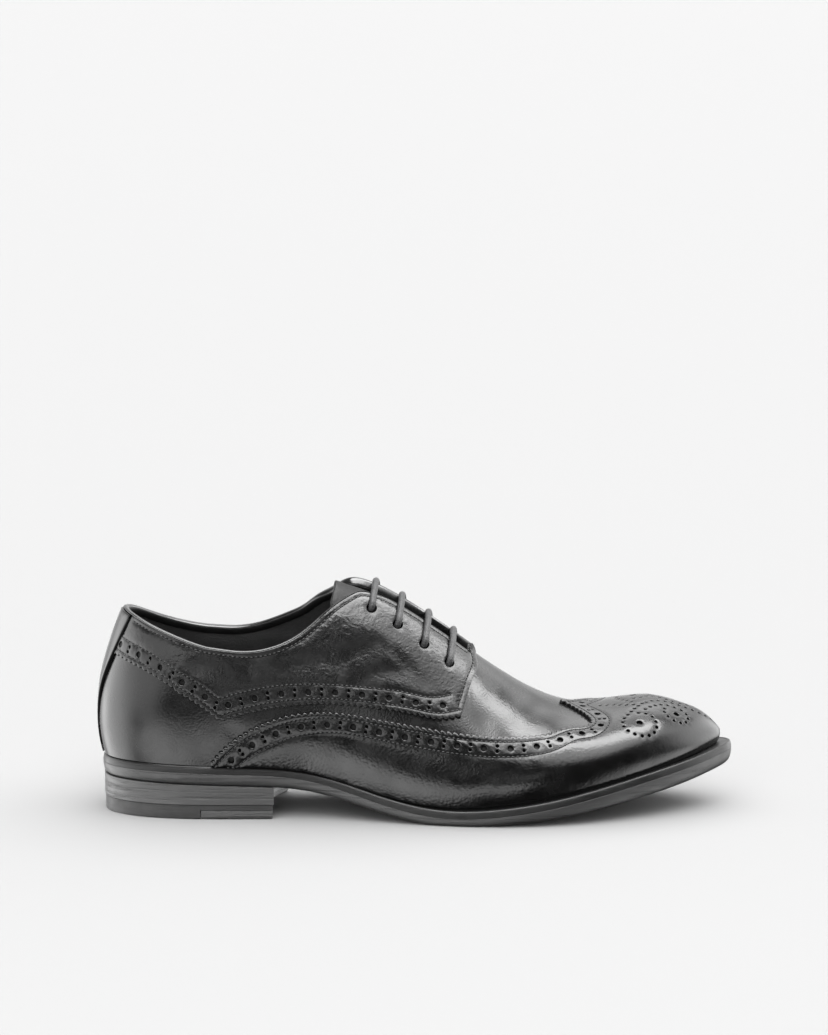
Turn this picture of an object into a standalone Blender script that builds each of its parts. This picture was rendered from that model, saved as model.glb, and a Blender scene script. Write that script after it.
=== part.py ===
"""Right derby brogue in black leather, with a wing cap, four pairs of eyelets and a stacked heel.

The shoe points along +X, its medial side is +Y, and it stands on z = 0.
Sizes are millimetres until a mesh is made. A last carries the whole upper: a rib runs from the
feather edge, where upper meets welt, over the side of the last to the ridge on top of the foot.
A place on the last is (s, t): s goes round the feather edge from the back of the heel along the
lateral side, t goes up the rib from 0 at the feather edge to 1 at the ridge.
"""
import math

import bmesh
import bpy
import numpy as np
from mathutils import Vector
from mathutils.geometry import delaunay_2d_cdt

MM = 0.001

# Driving sizes
LENGTH = 302.5
BALL_WIDTH = 100.0
INSTEP = 100.0
HEEL = 27.0
TOE_OFFSET = 4.0
GAP = 0.3

# Leather and sole
WALL = 1.8
OVERLAY = 1.3
FACING = 2.7
OVERLAY_GAP = 0.6
WELT = 3.6
WELT_LAP = 3.4
INSOLE = 2.6
TONGUE = 2.0
TONGUE_DROP = WALL + 1.35
BELLY_T = 0.2

# Heel
LIFT = 7.0
FRONT_LIFT = 4.2
FRONT_LIFT_START = 48.0
HEEL_TAPER = 1.0
HEEL_INSET = 0.5
BREAST_RADIUS = 71.0
BREAST_CENTRE = (149.6, -7.2)

# Lace and eyelets
LACE = 3.2
EYELET = 4.6
PUNCH_DEPTH = 14.0

# One row for each section of the last. along is a percentage of the length, lateral and medial are
# the sole's half widths as percentages of the ball width, ledge is how far the welt stands out,
# seat is the height of the welt's top as a percentage of the heel, sole the thickness of welt and
# outsole, ridge how far the ridge lies to the medial side, crest its height as a percentage of the
# instep, bulge and belly how far the side swells and at what height, wall and crown how upright
# the side is and how broad the top is.
COLUMNS = ("along", "lateral", "medial", "ledge", "seat", "sole", "ridge", "crest",
           "bulge", "belly", "wall", "crown")
SECTIONS = [
    (1.3, 15.0, 15.0, 0.6, 99.6, 9.4, 0.0, 140.0, 2.4, 17.5, 0.38, 0.23),
    (5.3, 25.5, 25.5, 0.7, 99.0, 9.4, 0.0, 139.5, 2.4, 18.0, 0.38, 0.28),
    (12.6, 32.0, 32.0, 0.8, 97.0, 9.4, 0.0, 138.0, 2.0, 20.0, 0.36, 0.40),
    (23.1, 33.0, 31.5, 1.1, 93.3, 9.3, 0.0, 128.5, 1.8, 20.0, 0.33, 0.45),
    (33.1, 33.5, 29.0, 1.8, 83.0, 8.9, 0.0, 116.0, 2.5, 18.0, 0.30, 0.47),
    (43.0, 39.5, 31.8, 3.4, 52.0, 8.1, 0.3, 106.6, 3.0, 15.0, 0.28, 0.50),
    (52.9, 46.5, 40.5, 4.5, 29.0, 7.9, 1.0, 87.8, 3.0, 13.0, 0.30, 0.50),
    (62.1, 50.0, 48.6, 5.0, 31.5, 7.8, 3.5, 67.4, 3.0, 12.0, 0.38, 0.50),
    (71.1, 48.5, 51.5, 5.2, 46.0, 9.0, 8.0, 51.5, 2.6, 11.0, 0.48, 0.55),
    (79.3, 42.0, 48.0, 5.2, 65.2, 10.2, 11.0, 47.2, 2.3, 9.5, 0.54, 0.60),
    (86.6, 32.5, 40.0, 5.3, 83.7, 10.7, 9.5, 50.0, 2.2, 8.0, 0.55, 0.60),
    (92.6, 22.0, 30.2, 6.4, 98.0, 10.5, 9.5, 48.1, 2.2, 6.5, 0.55, 0.62),
    (97.2, 10.0, 19.5, 7.8, 109.6, 10.2, 9.5, 42.4, 2.2, 5.5, 0.55, 0.65),
    (100.0, 0.0, 0.0, 9.2, 116.7, 10.0, 9.5, 29.6, 2.2, 5.0, 0.55, 0.65),
]
UNITS = {"along": LENGTH / 100, "lateral": BALL_WIDTH / 100, "medial": BALL_WIDTH / 100,
         "seat": HEEL / 100, "crest": INSTEP / 100}
HEEL_POLE = 12.6 * LENGTH / 100
TOE_POLE = 86.6 * LENGTH / 100

# The collar as distance along and height, then the facing as distance along and from the ridge
COLLAR = {
    "lateral": [(8, 98.5), (15, 96), (21, 93.4), (35, 87.8), (52, 82), (68, 80), (85, 82.5), (97, 88.5),
                (108, 97)],
    "medial": [(8, 98.5), (15, 94.6), (21, 91.2), (35, 85.4), (50, 82.4), (63, 82), (76, 84.6), (90, 90.5),
               (97, 94.4), (103, 99.2)],
}
FACING_EDGE = {
    "lateral": [(119, 14), (122.6, 9.8), (127, 7), (133, 6), (145, 6), (160, 6.4), (170, 7.2), (176, 8.5)],
    "medial": [(111, 15), (114.5, 11), (119, 7), (125, 5.4), (133, 5.4), (145, 6), (160, 6.4), (170, 7.2),
               (176, 8.5)],
}
FACING_CORNER = [(178.6, 11), (179.6, 15), (179.2, 20), (177.2, 28), (174.8, 38.5), (172.4, 48)]
THROAT_END = 176.0

# The quarter's lower edge and the wing's upper edge, as distance along and height
QUARTER_EDGE = [(5, 76), (13, 74), (21, 71), (31, 66), (40, 60), (51, 53.5), (58, 48.5), (68, 52),
                (80, 54.5), (94, 56.3), (107, 56.8), (120, 56.2), (134, 54.8), (148, 52.8), (161, 50.3)]
WING_EDGE = [(57, 31), (66, 39), (75, 44.3), (84, 48), (94, 50.4), (105, 51.3), (117, 50.8), (130, 48.8),
             (147, 46), (166, 43), (186, 40.8), (200, 40.2), (213, 40.8), (225, 42.2)]
WING_TAIL = 53.5
# The wing's valley and peak on top of the toe, as distance along and from the toe's axis
WING_PEAK = [(231.5, 27), (234.5, 21.5), (234, 18.5), (228, 8), (222, 1.5), (219.5, 0)]
TOE_AXIS = 3.0

# The strip over the back seam, as height and half width round the heel
BACK_STRIP = [(30, 5.0), (50, 5.0), (68, 6.0), (80, 9.5), (90, 15.0), (96.5, 19.0)]

# Eyelets as distance along and from the ridge
EYELETS = [(130.0, 17.8), (142.3, 19.0), (154.8, 21.0), (166.8, 23.0)]

# The tongue as distance along and half width
TONGUE_SHAPE = [(111, 12), (111.6, 17), (113.5, 21), (122, 23.5), (145, 22), (170, 18), (186, 15)]

# Facets
SIDE_PITCH = 10.0
TOE_PITCH = 6.5
TOE_PITCH_FROM = 215.0
HEEL_RIBS = 16
TOE_RIBS = 24
ROWS = (0.0, 0.1, 0.2, 0.32, 0.45, 0.58, 0.72, 0.86, 1.0)
BORDER_PITCH = 6.0
TABLE_RIBS = 720
TABLE_STEPS = 160

LEATHER = (0.012, 0.012, 0.013, 1)
LINING = (0.02, 0.019, 0.018, 1)
EDGE = (0.035, 0.035, 0.036, 1)
STACK = (0.06, 0.058, 0.056, 1)
RUBBER = (0.022, 0.022, 0.022, 1)
CORD = (0.03, 0.03, 0.032, 1)


def clear_scene():
    for item in list(bpy.data.objects):
        bpy.data.objects.remove(item, do_unlink=True)


def through(keys, values):
    """A smooth function through a table's rows: the natural cubic spline."""
    keys = np.asarray(keys, float)
    values = np.asarray(values, float)
    last = len(keys) - 1
    step = np.diff(keys)
    matrix = np.eye(last + 1)
    right = np.zeros(last + 1)
    for i in range(1, last):
        matrix[i, i - 1:i + 2] = step[i - 1], 2 * (step[i - 1] + step[i]), step[i]
        right[i] = 6 * ((values[i + 1] - values[i]) / step[i] - (values[i] - values[i - 1]) / step[i - 1])
    bend = np.linalg.solve(matrix, right)

    def at(place):
        x = np.clip(np.asarray(place, float), keys[0], keys[-1])
        i = np.clip(np.searchsorted(keys, x, side="right") - 1, 0, last - 1)
        u = (keys[i + 1] - x) / step[i]
        v = (x - keys[i]) / step[i]
        curve = ((u**3 - u) * bend[i] + (v**3 - v) * bend[i + 1]) * step[i] ** 2 / 6
        return u * values[i] + v * values[i + 1] + curve

    return at


def column(name):
    k = COLUMNS.index(name)
    unit = UNITS.get(name, 1.0)
    along = [row[0] * LENGTH / 100 for row in SECTIONS]
    return through(along, [row[k] * unit for row in SECTIONS])


SECTION = {name: column(name) for name in COLUMNS[1:]}


def sole_outline():
    """The sole seen from above as a closed smooth curve of s."""
    lateral = [(row[0] * LENGTH / 100, -row[1] * BALL_WIDTH / 100) for row in SECTIONS[:-1]]
    medial = [(row[0] * LENGTH / 100, row[2] * BALL_WIDTH / 100) for row in SECTIONS[:-1]]
    points = np.array([(0.0, 0.0)] + lateral + [(LENGTH, TOE_OFFSET)] + medial[::-1])
    count = len(points)
    wrap = 6
    chord = np.linalg.norm(np.roll(points, -1, 0) - points, axis=1)
    run = np.concatenate([[0.0], np.cumsum(chord)])
    keys = np.concatenate([run[count - wrap:count] - run[-1], run[:-1], run[:wrap + 1] + run[-1]])
    rows = np.concatenate([points[count - wrap:], points, points[:wrap + 1]])
    along, across = through(keys, rows[:, 0]), through(keys, rows[:, 1])

    def at(s):
        place = np.mod(np.asarray(s, float), 1.0) * run[-1]
        return np.stack([along(place), across(place)], -1)

    return at, run[-1]


OUTLINE, GIRTH = sole_outline()


def inset(s, by):
    """The sole's outline moved inward."""
    s = np.asarray(s, float)
    reach = OUTLINE(s + 1e-4) - OUTLINE(s - 1e-4)
    inward = np.stack([-reach[..., 1], reach[..., 0]], -1)
    inward = inward / np.linalg.norm(inward, axis=-1, keepdims=True)
    return OUTLINE(s) + inward * np.asarray(by, float)[..., None]


def feather(s):
    return inset(s, SECTION["ledge"](OUTLINE(s)[..., 0]))


def spine(foot):
    """The ridge point that a rib starting at this feather point runs to, seen from above."""
    x = np.clip(foot[..., 0], HEEL_POLE, TOE_POLE)
    return np.stack([x, SECTION["ridge"](x)], -1)


def on_last(s, t):
    """A point of the last's surface: a swelling foot, then a cubic curve over to the ridge."""
    s, t = np.broadcast_arrays(np.asarray(s, float), np.asarray(t, float))
    foot = feather(s)
    top = spine(foot)
    reach = foot - top
    width = np.linalg.norm(reach, axis=-1)
    bulge, belly, wall, crown = [SECTION[name](foot[..., 0]) for name in ("bulge", "belly", "wall", "crown")]
    base = SECTION["seat"](foot[..., 0]) + GAP
    low = np.clip(t / BELLY_T, 0, 1)
    u = np.clip((t - BELLY_T) / (1 - BELLY_T), 0, 1)
    full = 1 + bulge / width
    under = 1 + bulge / width * (1 - (1 - low) ** 2)
    over = full * ((1 - u) ** 3 + 3 * (1 - u) ** 2 * u + crown * 3 * (1 - u) * u**2)
    plan = top + reach * np.where(t < BELLY_T, under, over)[..., None]
    crest = SECTION["crest"](np.maximum(plan[..., 0], HEEL_POLE))
    climb = wall * 3 * (1 - u) ** 2 * u + 3 * (1 - u) * u**2 + u**3
    height = np.where(t < BELLY_T, base + belly * low, base + belly + (crest - base - belly) * climb)
    return np.concatenate([plan, height[..., None]], -1)


def outward(s, t):
    """The last's normal, taken a little below the ridge so that it stays defined there."""
    nudge = 0.002
    t = np.clip(np.asarray(t, float), nudge, 1 - 6 * nudge)
    round_it = on_last(s + nudge / 4, t) - on_last(s - nudge / 4, t)
    up_it = on_last(s, t + nudge) - on_last(s, t - nudge)
    normal = np.cross(round_it, up_it)
    return normal / np.linalg.norm(normal, axis=-1, keepdims=True)


def lift_off(s, t, by):
    return on_last(s, t) + outward(s, t) * np.asarray(by, float)[..., None]


class Pattern:
    """The last laid flat: a rib keeps its length and stays square to the ridge, or fans out at the ends."""

    def __init__(self):
        self.s = np.arange(TABLE_RIBS + 1) / TABLE_RIBS
        self.t = np.linspace(0, 1, TABLE_STEPS + 1)
        self.grid = on_last(self.s[:, None], self.t[None, :])
        piece = np.linalg.norm(np.diff(self.grid, axis=1), axis=-1)
        self.run = np.zeros((TABLE_RIBS + 1, TABLE_STEPS + 1))
        self.run[:, :-1] = np.cumsum(piece[:, ::-1], axis=1)[:, ::-1]
        self.foot = feather(self.s)
        self.top = spine(self.foot)
        reach = self.foot - self.top
        self.way = reach / np.linalg.norm(reach, axis=1, keepdims=True)
        self.tip = int(np.argmax(self.foot[:, 0]))

    def side(self, name):
        return slice(0, self.tip + 1) if name == "lateral" else slice(TABLE_RIBS, self.tip - 1, -1)

    def rib_at(self, name, x):
        """s of the rib whose feather point lies this far along."""
        part = self.side(name)
        return np.interp(x, self.foot[part, 0], self.s[part])

    def flat(self, s, t):
        """Where a point of the last lies on the flat pattern."""
        s = np.atleast_1d(np.asarray(s, float))
        t = np.broadcast_to(np.asarray(t, float), s.shape)
        rib = np.mod(s, 1.0) * TABLE_RIBS
        i = np.minimum(rib.astype(int), TABLE_RIBS - 1)
        u = (rib - i)[:, None]
        runs = (1 - u) * self.run[i] + u * self.run[i + 1]
        run = np.array([np.interp(value, self.t, row) for value, row in zip(t, runs)])
        way = (1 - u) * self.way[i] + u * self.way[i + 1]
        way = way / np.linalg.norm(way, axis=1, keepdims=True)
        return (1 - u) * self.top[i] + u * self.top[i + 1] + way * run[:, None]

    def lay(self, points):
        """(s, t) of points of the flat pattern."""
        x, y = np.asarray(points, float).T
        ridge = SECTION["ridge"](np.clip(x, HEEL_POLE, TOE_POLE))
        s = np.where(y < ridge, self.rib_at("lateral", x), self.rib_at("medial", x))
        run = np.abs(y - ridge)
        for pole, sign in ((HEEL_POLE, -1.0), (TOE_POLE, 1.0)):
            beyond = (x - pole) * sign > 0
            fan = np.where((self.foot[:, 0] - pole) * sign > 0)[0]
            turn = np.arctan2(self.way[fan, 1], self.way[fan, 0] * sign)
            place = np.where((sign < 0) & (self.s[fan] > 0.5), self.s[fan] - 1, self.s[fan])
            order = np.argsort(turn)
            centre = float(SECTION["ridge"](pole))
            aim = np.arctan2(y - centre, (x - pole) * sign)
            s = np.where(beyond, np.interp(aim, turn[order], place[order]), s)
            run = np.where(beyond, np.hypot(x - pole, y - centre), run)
        s = np.mod(s, 1.0)
        rib = s * TABLE_RIBS
        i = np.minimum(rib.astype(int), TABLE_RIBS - 1)
        u = (rib - i)[:, None]
        runs = (1 - u) * self.run[i] + u * self.run[i + 1]
        t = np.array([np.interp(-value, -row, self.t) for value, row in zip(run, runs)])
        return s, t

    def at_height(self, name, x, z):
        """(s, t) of the point of one side that lies this far along at this height."""
        part = self.side(name)
        t = np.array([np.interp(z, row, self.t) for row in self.grid[part, :, 2]])
        along = np.array([np.interp(value, self.t, row) for value, row in zip(t, self.grid[part, :, 0])])
        return float(np.interp(x, along, self.s[part])), float(np.interp(x, along, t))

    def edge(self, name, rows):
        """Flat points of an edge given as distance along and height on one side."""
        places = np.array([self.at_height(name, x, z) for x, z in rows])
        return self.flat(places[:, 0], places[:, 1])


PATTERN = Pattern()
SIGN = {"lateral": -1.0, "medial": 1.0}


def opening_table():
    """t of the collar and of the facing's edge on every rib of the table."""
    opening = np.ones(TABLE_RIBS + 1)
    for name in SIGN:
        ribs = np.arange(TABLE_RIBS + 1)[PATTERN.side(name)]
        height = through(*zip(*COLLAR[name]))
        side_rows = [row for row in COLLAR[name] if row[0] > HEEL_POLE]
        flat = PATTERN.edge(name, side_rows)
        run = np.abs(flat[:, 1] - SECTION["ridge"](flat[:, 0]))
        away = through(list(flat[:, 0]) + [x for x, d in FACING_EDGE[name]],
                       list(run) + [d for x, d in FACING_EDGE[name]])
        blend_end = side_rows[0][0]
        for i in ribs:
            x = PATTERN.foot[i, 0]
            if x > THROAT_END:
                continue
            over = PATTERN.grid[i, :, 2] - height(PATTERN.grid[i, :, 0])
            by_height = np.interp(0.0, over, PATTERN.t)
            by_run = np.interp(-away(x), -PATTERN.run[i], PATTERN.t)
            opening[i] = by_height if x < blend_end else by_run
    return opening


OPENING = opening_table()


def opening(s):
    return np.interp(np.mod(s, 1.0), PATTERN.s, OPENING)


def smooth_path(points, pitch, closed=False):
    """Points at an even pitch along a smooth curve through a few points."""
    points = np.asarray(points, float)
    if closed:
        points = np.vstack([points, points[:1]])
    run = np.concatenate([[0.0], np.cumsum(np.linalg.norm(np.diff(points, axis=0), axis=1))])
    curves = [through(run, values) for values in points.T]
    place = np.linspace(0, run[-1], max(2, round(run[-1] / pitch) + 1))
    return np.stack([curve(place) for curve in curves], -1)


def inside(points, border):
    """Which points lie inside a closed border."""
    points = np.asarray(points, float)
    result = np.zeros(len(points), bool)
    for (ax, ay), (bx, by) in zip(border, np.roll(border, -1, 0)):
        spans = (ay > points[:, 1]) != (by > points[:, 1])
        rise = by - ay if by != ay else 1.0
        result ^= spans & (points[:, 0] < (bx - ax) * (points[:, 1] - ay) / rise + ax)
    return result


def clearance(points, border):
    """Distance of each point from a closed border."""
    best = np.full(len(points), np.inf)
    for a, b in zip(border, np.roll(border, -1, 0)):
        span = b - a
        place = np.clip(((points - a) @ span) / max(span @ span, 1e-9), 0, 1)
        best = np.minimum(best, np.linalg.norm(points - a - place[:, None] * span, axis=1))
    return best


def material(name, colour, roughness):
    made = bpy.data.materials.new(name)
    made.use_nodes = True
    shader = made.node_tree.nodes["Principled BSDF"]
    shader.inputs["Base Color"].default_value = colour
    shader.inputs["Roughness"].default_value = roughness
    shader.inputs["Metallic"].default_value = 0.0
    return made


def collection(name):
    made = bpy.data.collections.new(name)
    bpy.context.scene.collection.children.link(made)
    return made


def centred(points):
    """Model points in metres, with the shoe's box centred on the origin."""
    middle = np.array([BOX_CENTRE[0], BOX_CENTRE[1], 0.0])
    return (np.asarray(points, float) - middle) * MM


def add_object(name, vertices, faces, finish, smooth=True):
    mesh = bpy.data.meshes.new(name)
    mesh.from_pydata([tuple(v) for v in centred(vertices)], [], faces)
    shape = bmesh.new()
    shape.from_mesh(mesh)
    bmesh.ops.remove_doubles(shape, verts=shape.verts, dist=0.02 * MM)
    bmesh.ops.dissolve_degenerate(shape, edges=shape.edges, dist=0.02 * MM)
    shape.to_mesh(mesh)
    shape.free()
    for polygon in mesh.polygons:
        polygon.use_smooth = smooth
    mesh.materials.append(finish)
    item = bpy.data.objects.new(name, mesh)
    SHOE.objects.link(item)
    return item


def solidify(item, thickness, offset, thick_where=None, thin=1.0):
    """Thickness for a leather piece: offset 1 grows outward, offset -1 inward."""
    skin = item.modifiers.new("leather", "SOLIDIFY")
    skin.thickness = thickness * MM
    skin.offset = offset
    skin.use_even_offset = True
    skin.use_quality_normals = True
    if thick_where is not None:
        group = item.vertex_groups.new(name="thick")
        for index, weight in enumerate(thick_where):
            group.add([index], float(weight), "REPLACE")
        skin.vertex_group = "thick"
        skin.thickness_vertex_group = thin
    return skin


def cut(item, cutter):
    knife = item.modifiers.new("cut", "BOOLEAN")
    knife.operation = "DIFFERENCE"
    knife.solver = "EXACT"
    knife.object = cutter


def make_cutter(name, mesh_builder):
    """A cutting body, kept out of the render in its own collection."""
    mesh = bpy.data.meshes.new(name)
    shape = bmesh.new()
    mesh_builder(shape)
    shape.to_mesh(mesh)
    shape.free()
    item = bpy.data.objects.new(name, mesh)
    item.display_type = "WIRE"
    item.hide_render = True
    CUTTERS.objects.link(item)
    return item


def shell_ribs():
    """Ribs of the upper: a fan at the heel, matching stations on both sides, a fan at the toe."""
    sides = np.linspace(HEEL_POLE, TOE_PITCH_FROM, round((TOE_PITCH_FROM - HEEL_POLE) / SIDE_PITCH) + 1)
    toe_sides = np.linspace(TOE_PITCH_FROM, TOE_POLE, round((TOE_POLE - TOE_PITCH_FROM) / TOE_PITCH) + 1)
    stations = np.unique(np.concatenate([sides, toe_sides, [THROAT_END - 1.5, THROAT_END + 1.5]]))
    lateral = PATTERN.rib_at("lateral", stations)
    medial = PATTERN.rib_at("medial", stations)
    heel = np.linspace(medial[0] - 1, lateral[0], HEEL_RIBS + 1)[1:-1]
    toe = np.linspace(lateral[-1], medial[-1], TOE_RIBS + 1)[1:-1]
    return np.concatenate([heel, lateral, toe, medial[::-1]])


RIBS = shell_ribs()


def rib_limit(s):
    """How far up the upper's own wall reaches on a rib, a little short of the quarter's edge."""
    top = opening(s)
    return np.where(top > 0.995, 1.0, top - 0.012)


def loop_faces(rings, per_ring):
    """Quads between neighbouring rings of a closed loop of open sections."""
    faces = []
    for i in range(rings):
        j = (i + 1) % rings
        for k in range(per_ring - 1):
            faces.append((i * per_ring + k, j * per_ring + k, j * per_ring + k + 1, i * per_ring + k + 1))
    return faces


def make_upper(finish):
    rows = np.array(ROWS)
    t = rib_limit(RIBS)[:, None] * rows[None, :]
    points = on_last(RIBS[:, None], t).reshape(-1, 3)
    item = add_object("upper", points, loop_faces(len(RIBS), len(rows)), finish)
    solidify(item, WALL, -1)
    return item


def make_panel(name, border, finish):
    """A leather piece cut to a flat border and laid on the last: its open surface and flat points."""
    ribs, rows = np.meshgrid(RIBS, ROWS[1:], indexing="ij")
    fill = PATTERN.flat(ribs.ravel(), (rib_limit(ribs) * rows).ravel())
    fill = np.unique(np.round(fill, 3), axis=0)
    keep = inside(fill, border) & (clearance(fill, border) > BORDER_PITCH / 3)
    points = np.vstack([border, fill[keep]])
    count = len(border)
    edges = [(i, (i + 1) % count) for i in range(count)]
    made = delaunay_2d_cdt([Vector(p) for p in points], edges, [], 1, 1e-6)
    flat = np.array([tuple(v) for v in made[0]])
    s, t = PATTERN.lay(flat)
    surface = lift_off(s, t, np.full(len(s), OVERLAY_GAP))
    return add_object(name, surface, [tuple(f) for f in made[2]], finish), flat


def feather_path(start, end, lift, pitch):
    """Flat points just above the feather edge from one rib to another."""
    s = np.linspace(start, end, max(2, round(abs(end - start) * GIRTH / pitch)))
    t = BELLY_T * lift / SECTION["belly"](feather(s)[..., 0])
    return PATTERN.flat(s, t)


def make_wing(finish):
    lift = 1.3
    halves = {}
    for name, sign in SIGN.items():
        start = PATTERN.rib_at(name, WING_TAIL)
        tail = feather_path(start, start, lift, BORDER_PITCH)[:1]
        side = PATTERN.edge(name, WING_EDGE)
        peak = [(x, TOE_AXIS + sign * d) for x, d in WING_PEAK]
        halves[name] = np.vstack([smooth_path(np.vstack([tail, side, peak[:2]]), BORDER_PITCH), peak[2:]])
    ends = [PATTERN.rib_at(name, WING_TAIL) for name in ("medial", "lateral")]
    base = feather_path(*ends, lift, BORDER_PITCH)
    border = np.vstack([halves["lateral"], halves["medial"][::-1][1:], base[1:-1]])
    item = make_panel("wing_cap", border, finish)[0]
    solidify(item, OVERLAY, 1)


def across_heel(height, away):
    """Flat points at one height of the heel, at distances round it from the back seam."""
    s = np.mod(np.asarray(away, float) / GIRTH, 1.0)
    t = [np.interp(height, on_last(rib, PATTERN.t)[:, 2], PATTERN.t) for rib in s]
    return PATTERN.flat(s, t)


def strip_edge(name, heights, widen=0.0):
    """Flat points of the back strip's edge at the given heights on one side."""
    half = through(*zip(*BACK_STRIP))
    return np.vstack([across_heel(z, [-SIGN[name] * (half(z) + widen)]) for z in heights])


def make_back_strip(finish):
    heights = [row[0] for row in BACK_STRIP]
    lateral = strip_edge("lateral", heights)
    medial = strip_edge("medial", heights)
    top = across_heel(heights[-1], np.array([0.6, 0.2, -0.2, -0.6]) * BACK_STRIP[-1][1])
    foot = across_heel(heights[0], np.array([-0.4, 0.4]) * BACK_STRIP[0][1])
    sides = [smooth_path(edge, BORDER_PITCH) for edge in (lateral, medial[::-1])]
    border = np.vstack([sides[0], top, sides[1], foot])
    item = make_panel("back_strip", border, finish)[0]
    solidify(item, OVERLAY, 1)


def make_quarter(name, finish):
    """Quarter with its facing: collar, facing edge, rounded front corner, front and lower edge."""
    sign = SIGN[name]
    strip_gap = 1.2
    side_heights = [77.5, 82, 87, 92, 97]
    back = strip_edge(name, side_heights, strip_gap)
    start = (through(*zip(*BACK_STRIP))(96.5) + strip_gap) / GIRTH
    stop = PATTERN.rib_at("lateral", THROAT_END)
    s = np.linspace(start, stop, round((stop - start) * GIRTH / BORDER_PITCH))
    if name == "medial":
        stop = PATTERN.rib_at("medial", THROAT_END)
        s = np.linspace(1.0 - start, stop, len(s))
    collar = PATTERN.flat(s, opening(s))
    front = [(x, SECTION["ridge"](x) + sign * d) for x, d in FACING_CORNER]
    lower = PATTERN.edge(name, QUARTER_EDGE[::-1])
    border = np.vstack([collar[:-1], smooth_path(np.vstack([collar[-1:], front]), BORDER_PITCH),
                        smooth_path(np.vstack([front[-1:], lower]), BORDER_PITCH)[1:-1], back])
    item, flat = make_panel("quarter_" + name, border, finish)
    run = np.abs(flat[:, 1] - SECTION["ridge"](np.clip(flat[:, 0], HEEL_POLE, TOE_POLE)))
    near = np.clip((45 - run) / 20, 0, 1) * np.clip((flat[:, 0] - 95) / 20, 0, 1)
    solidify(item, FACING, 1, near * near * (3 - 2 * near), OVERLAY / FACING)
    return item


def make_tongue(finish):
    half = through(*zip(*TONGUE_SHAPE))
    x = np.array([row[0] for row in TONGUE_SHAPE], float)
    edge = smooth_path(np.stack([x, half(x)], -1), BORDER_PITCH)
    ridge = SECTION["ridge"](edge[:, 0])
    lateral = np.stack([edge[:, 0], ridge - edge[:, 1]], -1)
    medial = np.stack([edge[:, 0], ridge + edge[:, 1]], -1)
    border = np.vstack([lateral, medial[::-1]])
    stations = np.linspace(x[0], x[-1], round((x[-1] - x[0]) / BORDER_PITCH) + 1)[1:-1]
    thirds = np.arange(-2, 3) / 3
    fill = np.array([(c, SECTION["ridge"](c) + half(c) * f) for c in stations for f in thirds])
    points = np.vstack([border, fill])
    count = len(border)
    edges = [(i, (i + 1) % count) for i in range(count)]
    made = delaunay_2d_cdt([Vector(p) for p in points], edges, [], 1, 1e-6)
    s, t = PATTERN.lay(np.array([tuple(v) for v in made[0]]))
    surface = lift_off(s, t, np.full(len(s), -TONGUE_DROP))
    item = add_object("tongue", surface, [tuple(f) for f in made[2]], finish)
    solidify(item, TONGUE, -1)
    return item


def eyelet_places():
    """(s, t) of the eyelets of each side, from the top of the throat down."""
    places = {}
    for name, sign in SIGN.items():
        flat = [(x, SECTION["ridge"](x) + sign * d) for x, d in EYELETS]
        places[name] = PATTERN.lay(flat)
    return places


def punch_eyelets(upper, quarters):
    for name, (s, t) in eyelet_places().items():
        middles = centred(lift_off(s, t, np.zeros(len(s))))
        ways = outward(s, t)

        def punches(shape):
            for middle, way in zip(middles, ways):
                turn = Vector((0, 0, 1)).rotation_difference(Vector(way)).to_matrix().to_4x4()
                turn.translation = Vector(middle)
                bmesh.ops.create_cone(shape, cap_ends=True, segments=16, radius1=EYELET / 2 * MM,
                                      radius2=EYELET / 2 * MM, depth=PUNCH_DEPTH * MM, matrix=turn)

        punch = make_cutter("eyelet_punch_" + name, punches)
        cut(quarters[name], punch)
        cut(upper, punch)


def make_lace(finish):
    """Straight bars that rise from one eyelet, cross the throat and dip into the other."""
    rise = OVERLAY_GAP + FACING + 2 * GAP + LACE / 2
    for number, (x, d) in enumerate(EYELETS, start=1):
        ridge = float(SECTION["ridge"](x))
        across = [(-1.02, -0.8), (-1.02, 1.8), (-1.01, rise - 0.9), (-0.94, rise + 0.1), (-0.8, rise),
                  (-0.5, rise), (0.0, rise - 0.2)]
        across += [(-f, h) for f, h in across[-2::-1]]
        s, t = PATTERN.lay([(x, ridge + f * d) for f, h in across])
        path = smooth_path(lift_off(s, t, [h for f, h in across]), 1.2 * LACE)
        cord = bpy.data.curves.new("lace_bar_%d" % number, "CURVE")
        cord.dimensions = "3D"
        cord.bevel_depth = LACE / 2 * MM
        cord.bevel_resolution = 2
        cord.use_fill_caps = True
        line = cord.splines.new("POLY")
        line.points.add(len(path) - 1)
        for point, place in zip(line.points, centred(path)):
            point.co = (*place, 1.0)
        line.use_smooth = True
        cord.materials.append(finish)
        SHOE.objects.link(bpy.data.objects.new(cord.name, cord))


def half_widths(by):
    """Functions for the two edges of the sole's outline moved inward, against distance along."""
    s = np.linspace(0, 1, 1441)
    loop = inset(s, np.full(len(s), by) if np.isscalar(by) else by(s))
    back, tip = int(np.argmin(loop[:-1, 0])), int(np.argmax(loop[:, 0]))
    loop = np.roll(loop[:-1], -back, axis=0)
    tip = (tip - back) % len(loop)
    lateral = loop[:tip + 1]
    medial = np.vstack([loop[tip:], loop[:1]])[::-1]

    def at(x):
        return np.interp(x, lateral[:, 0], lateral[:, 1]), np.interp(x, medial[:, 0], medial[:, 1])

    return at, lateral[0, 0], lateral[-1, 0]


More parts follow.
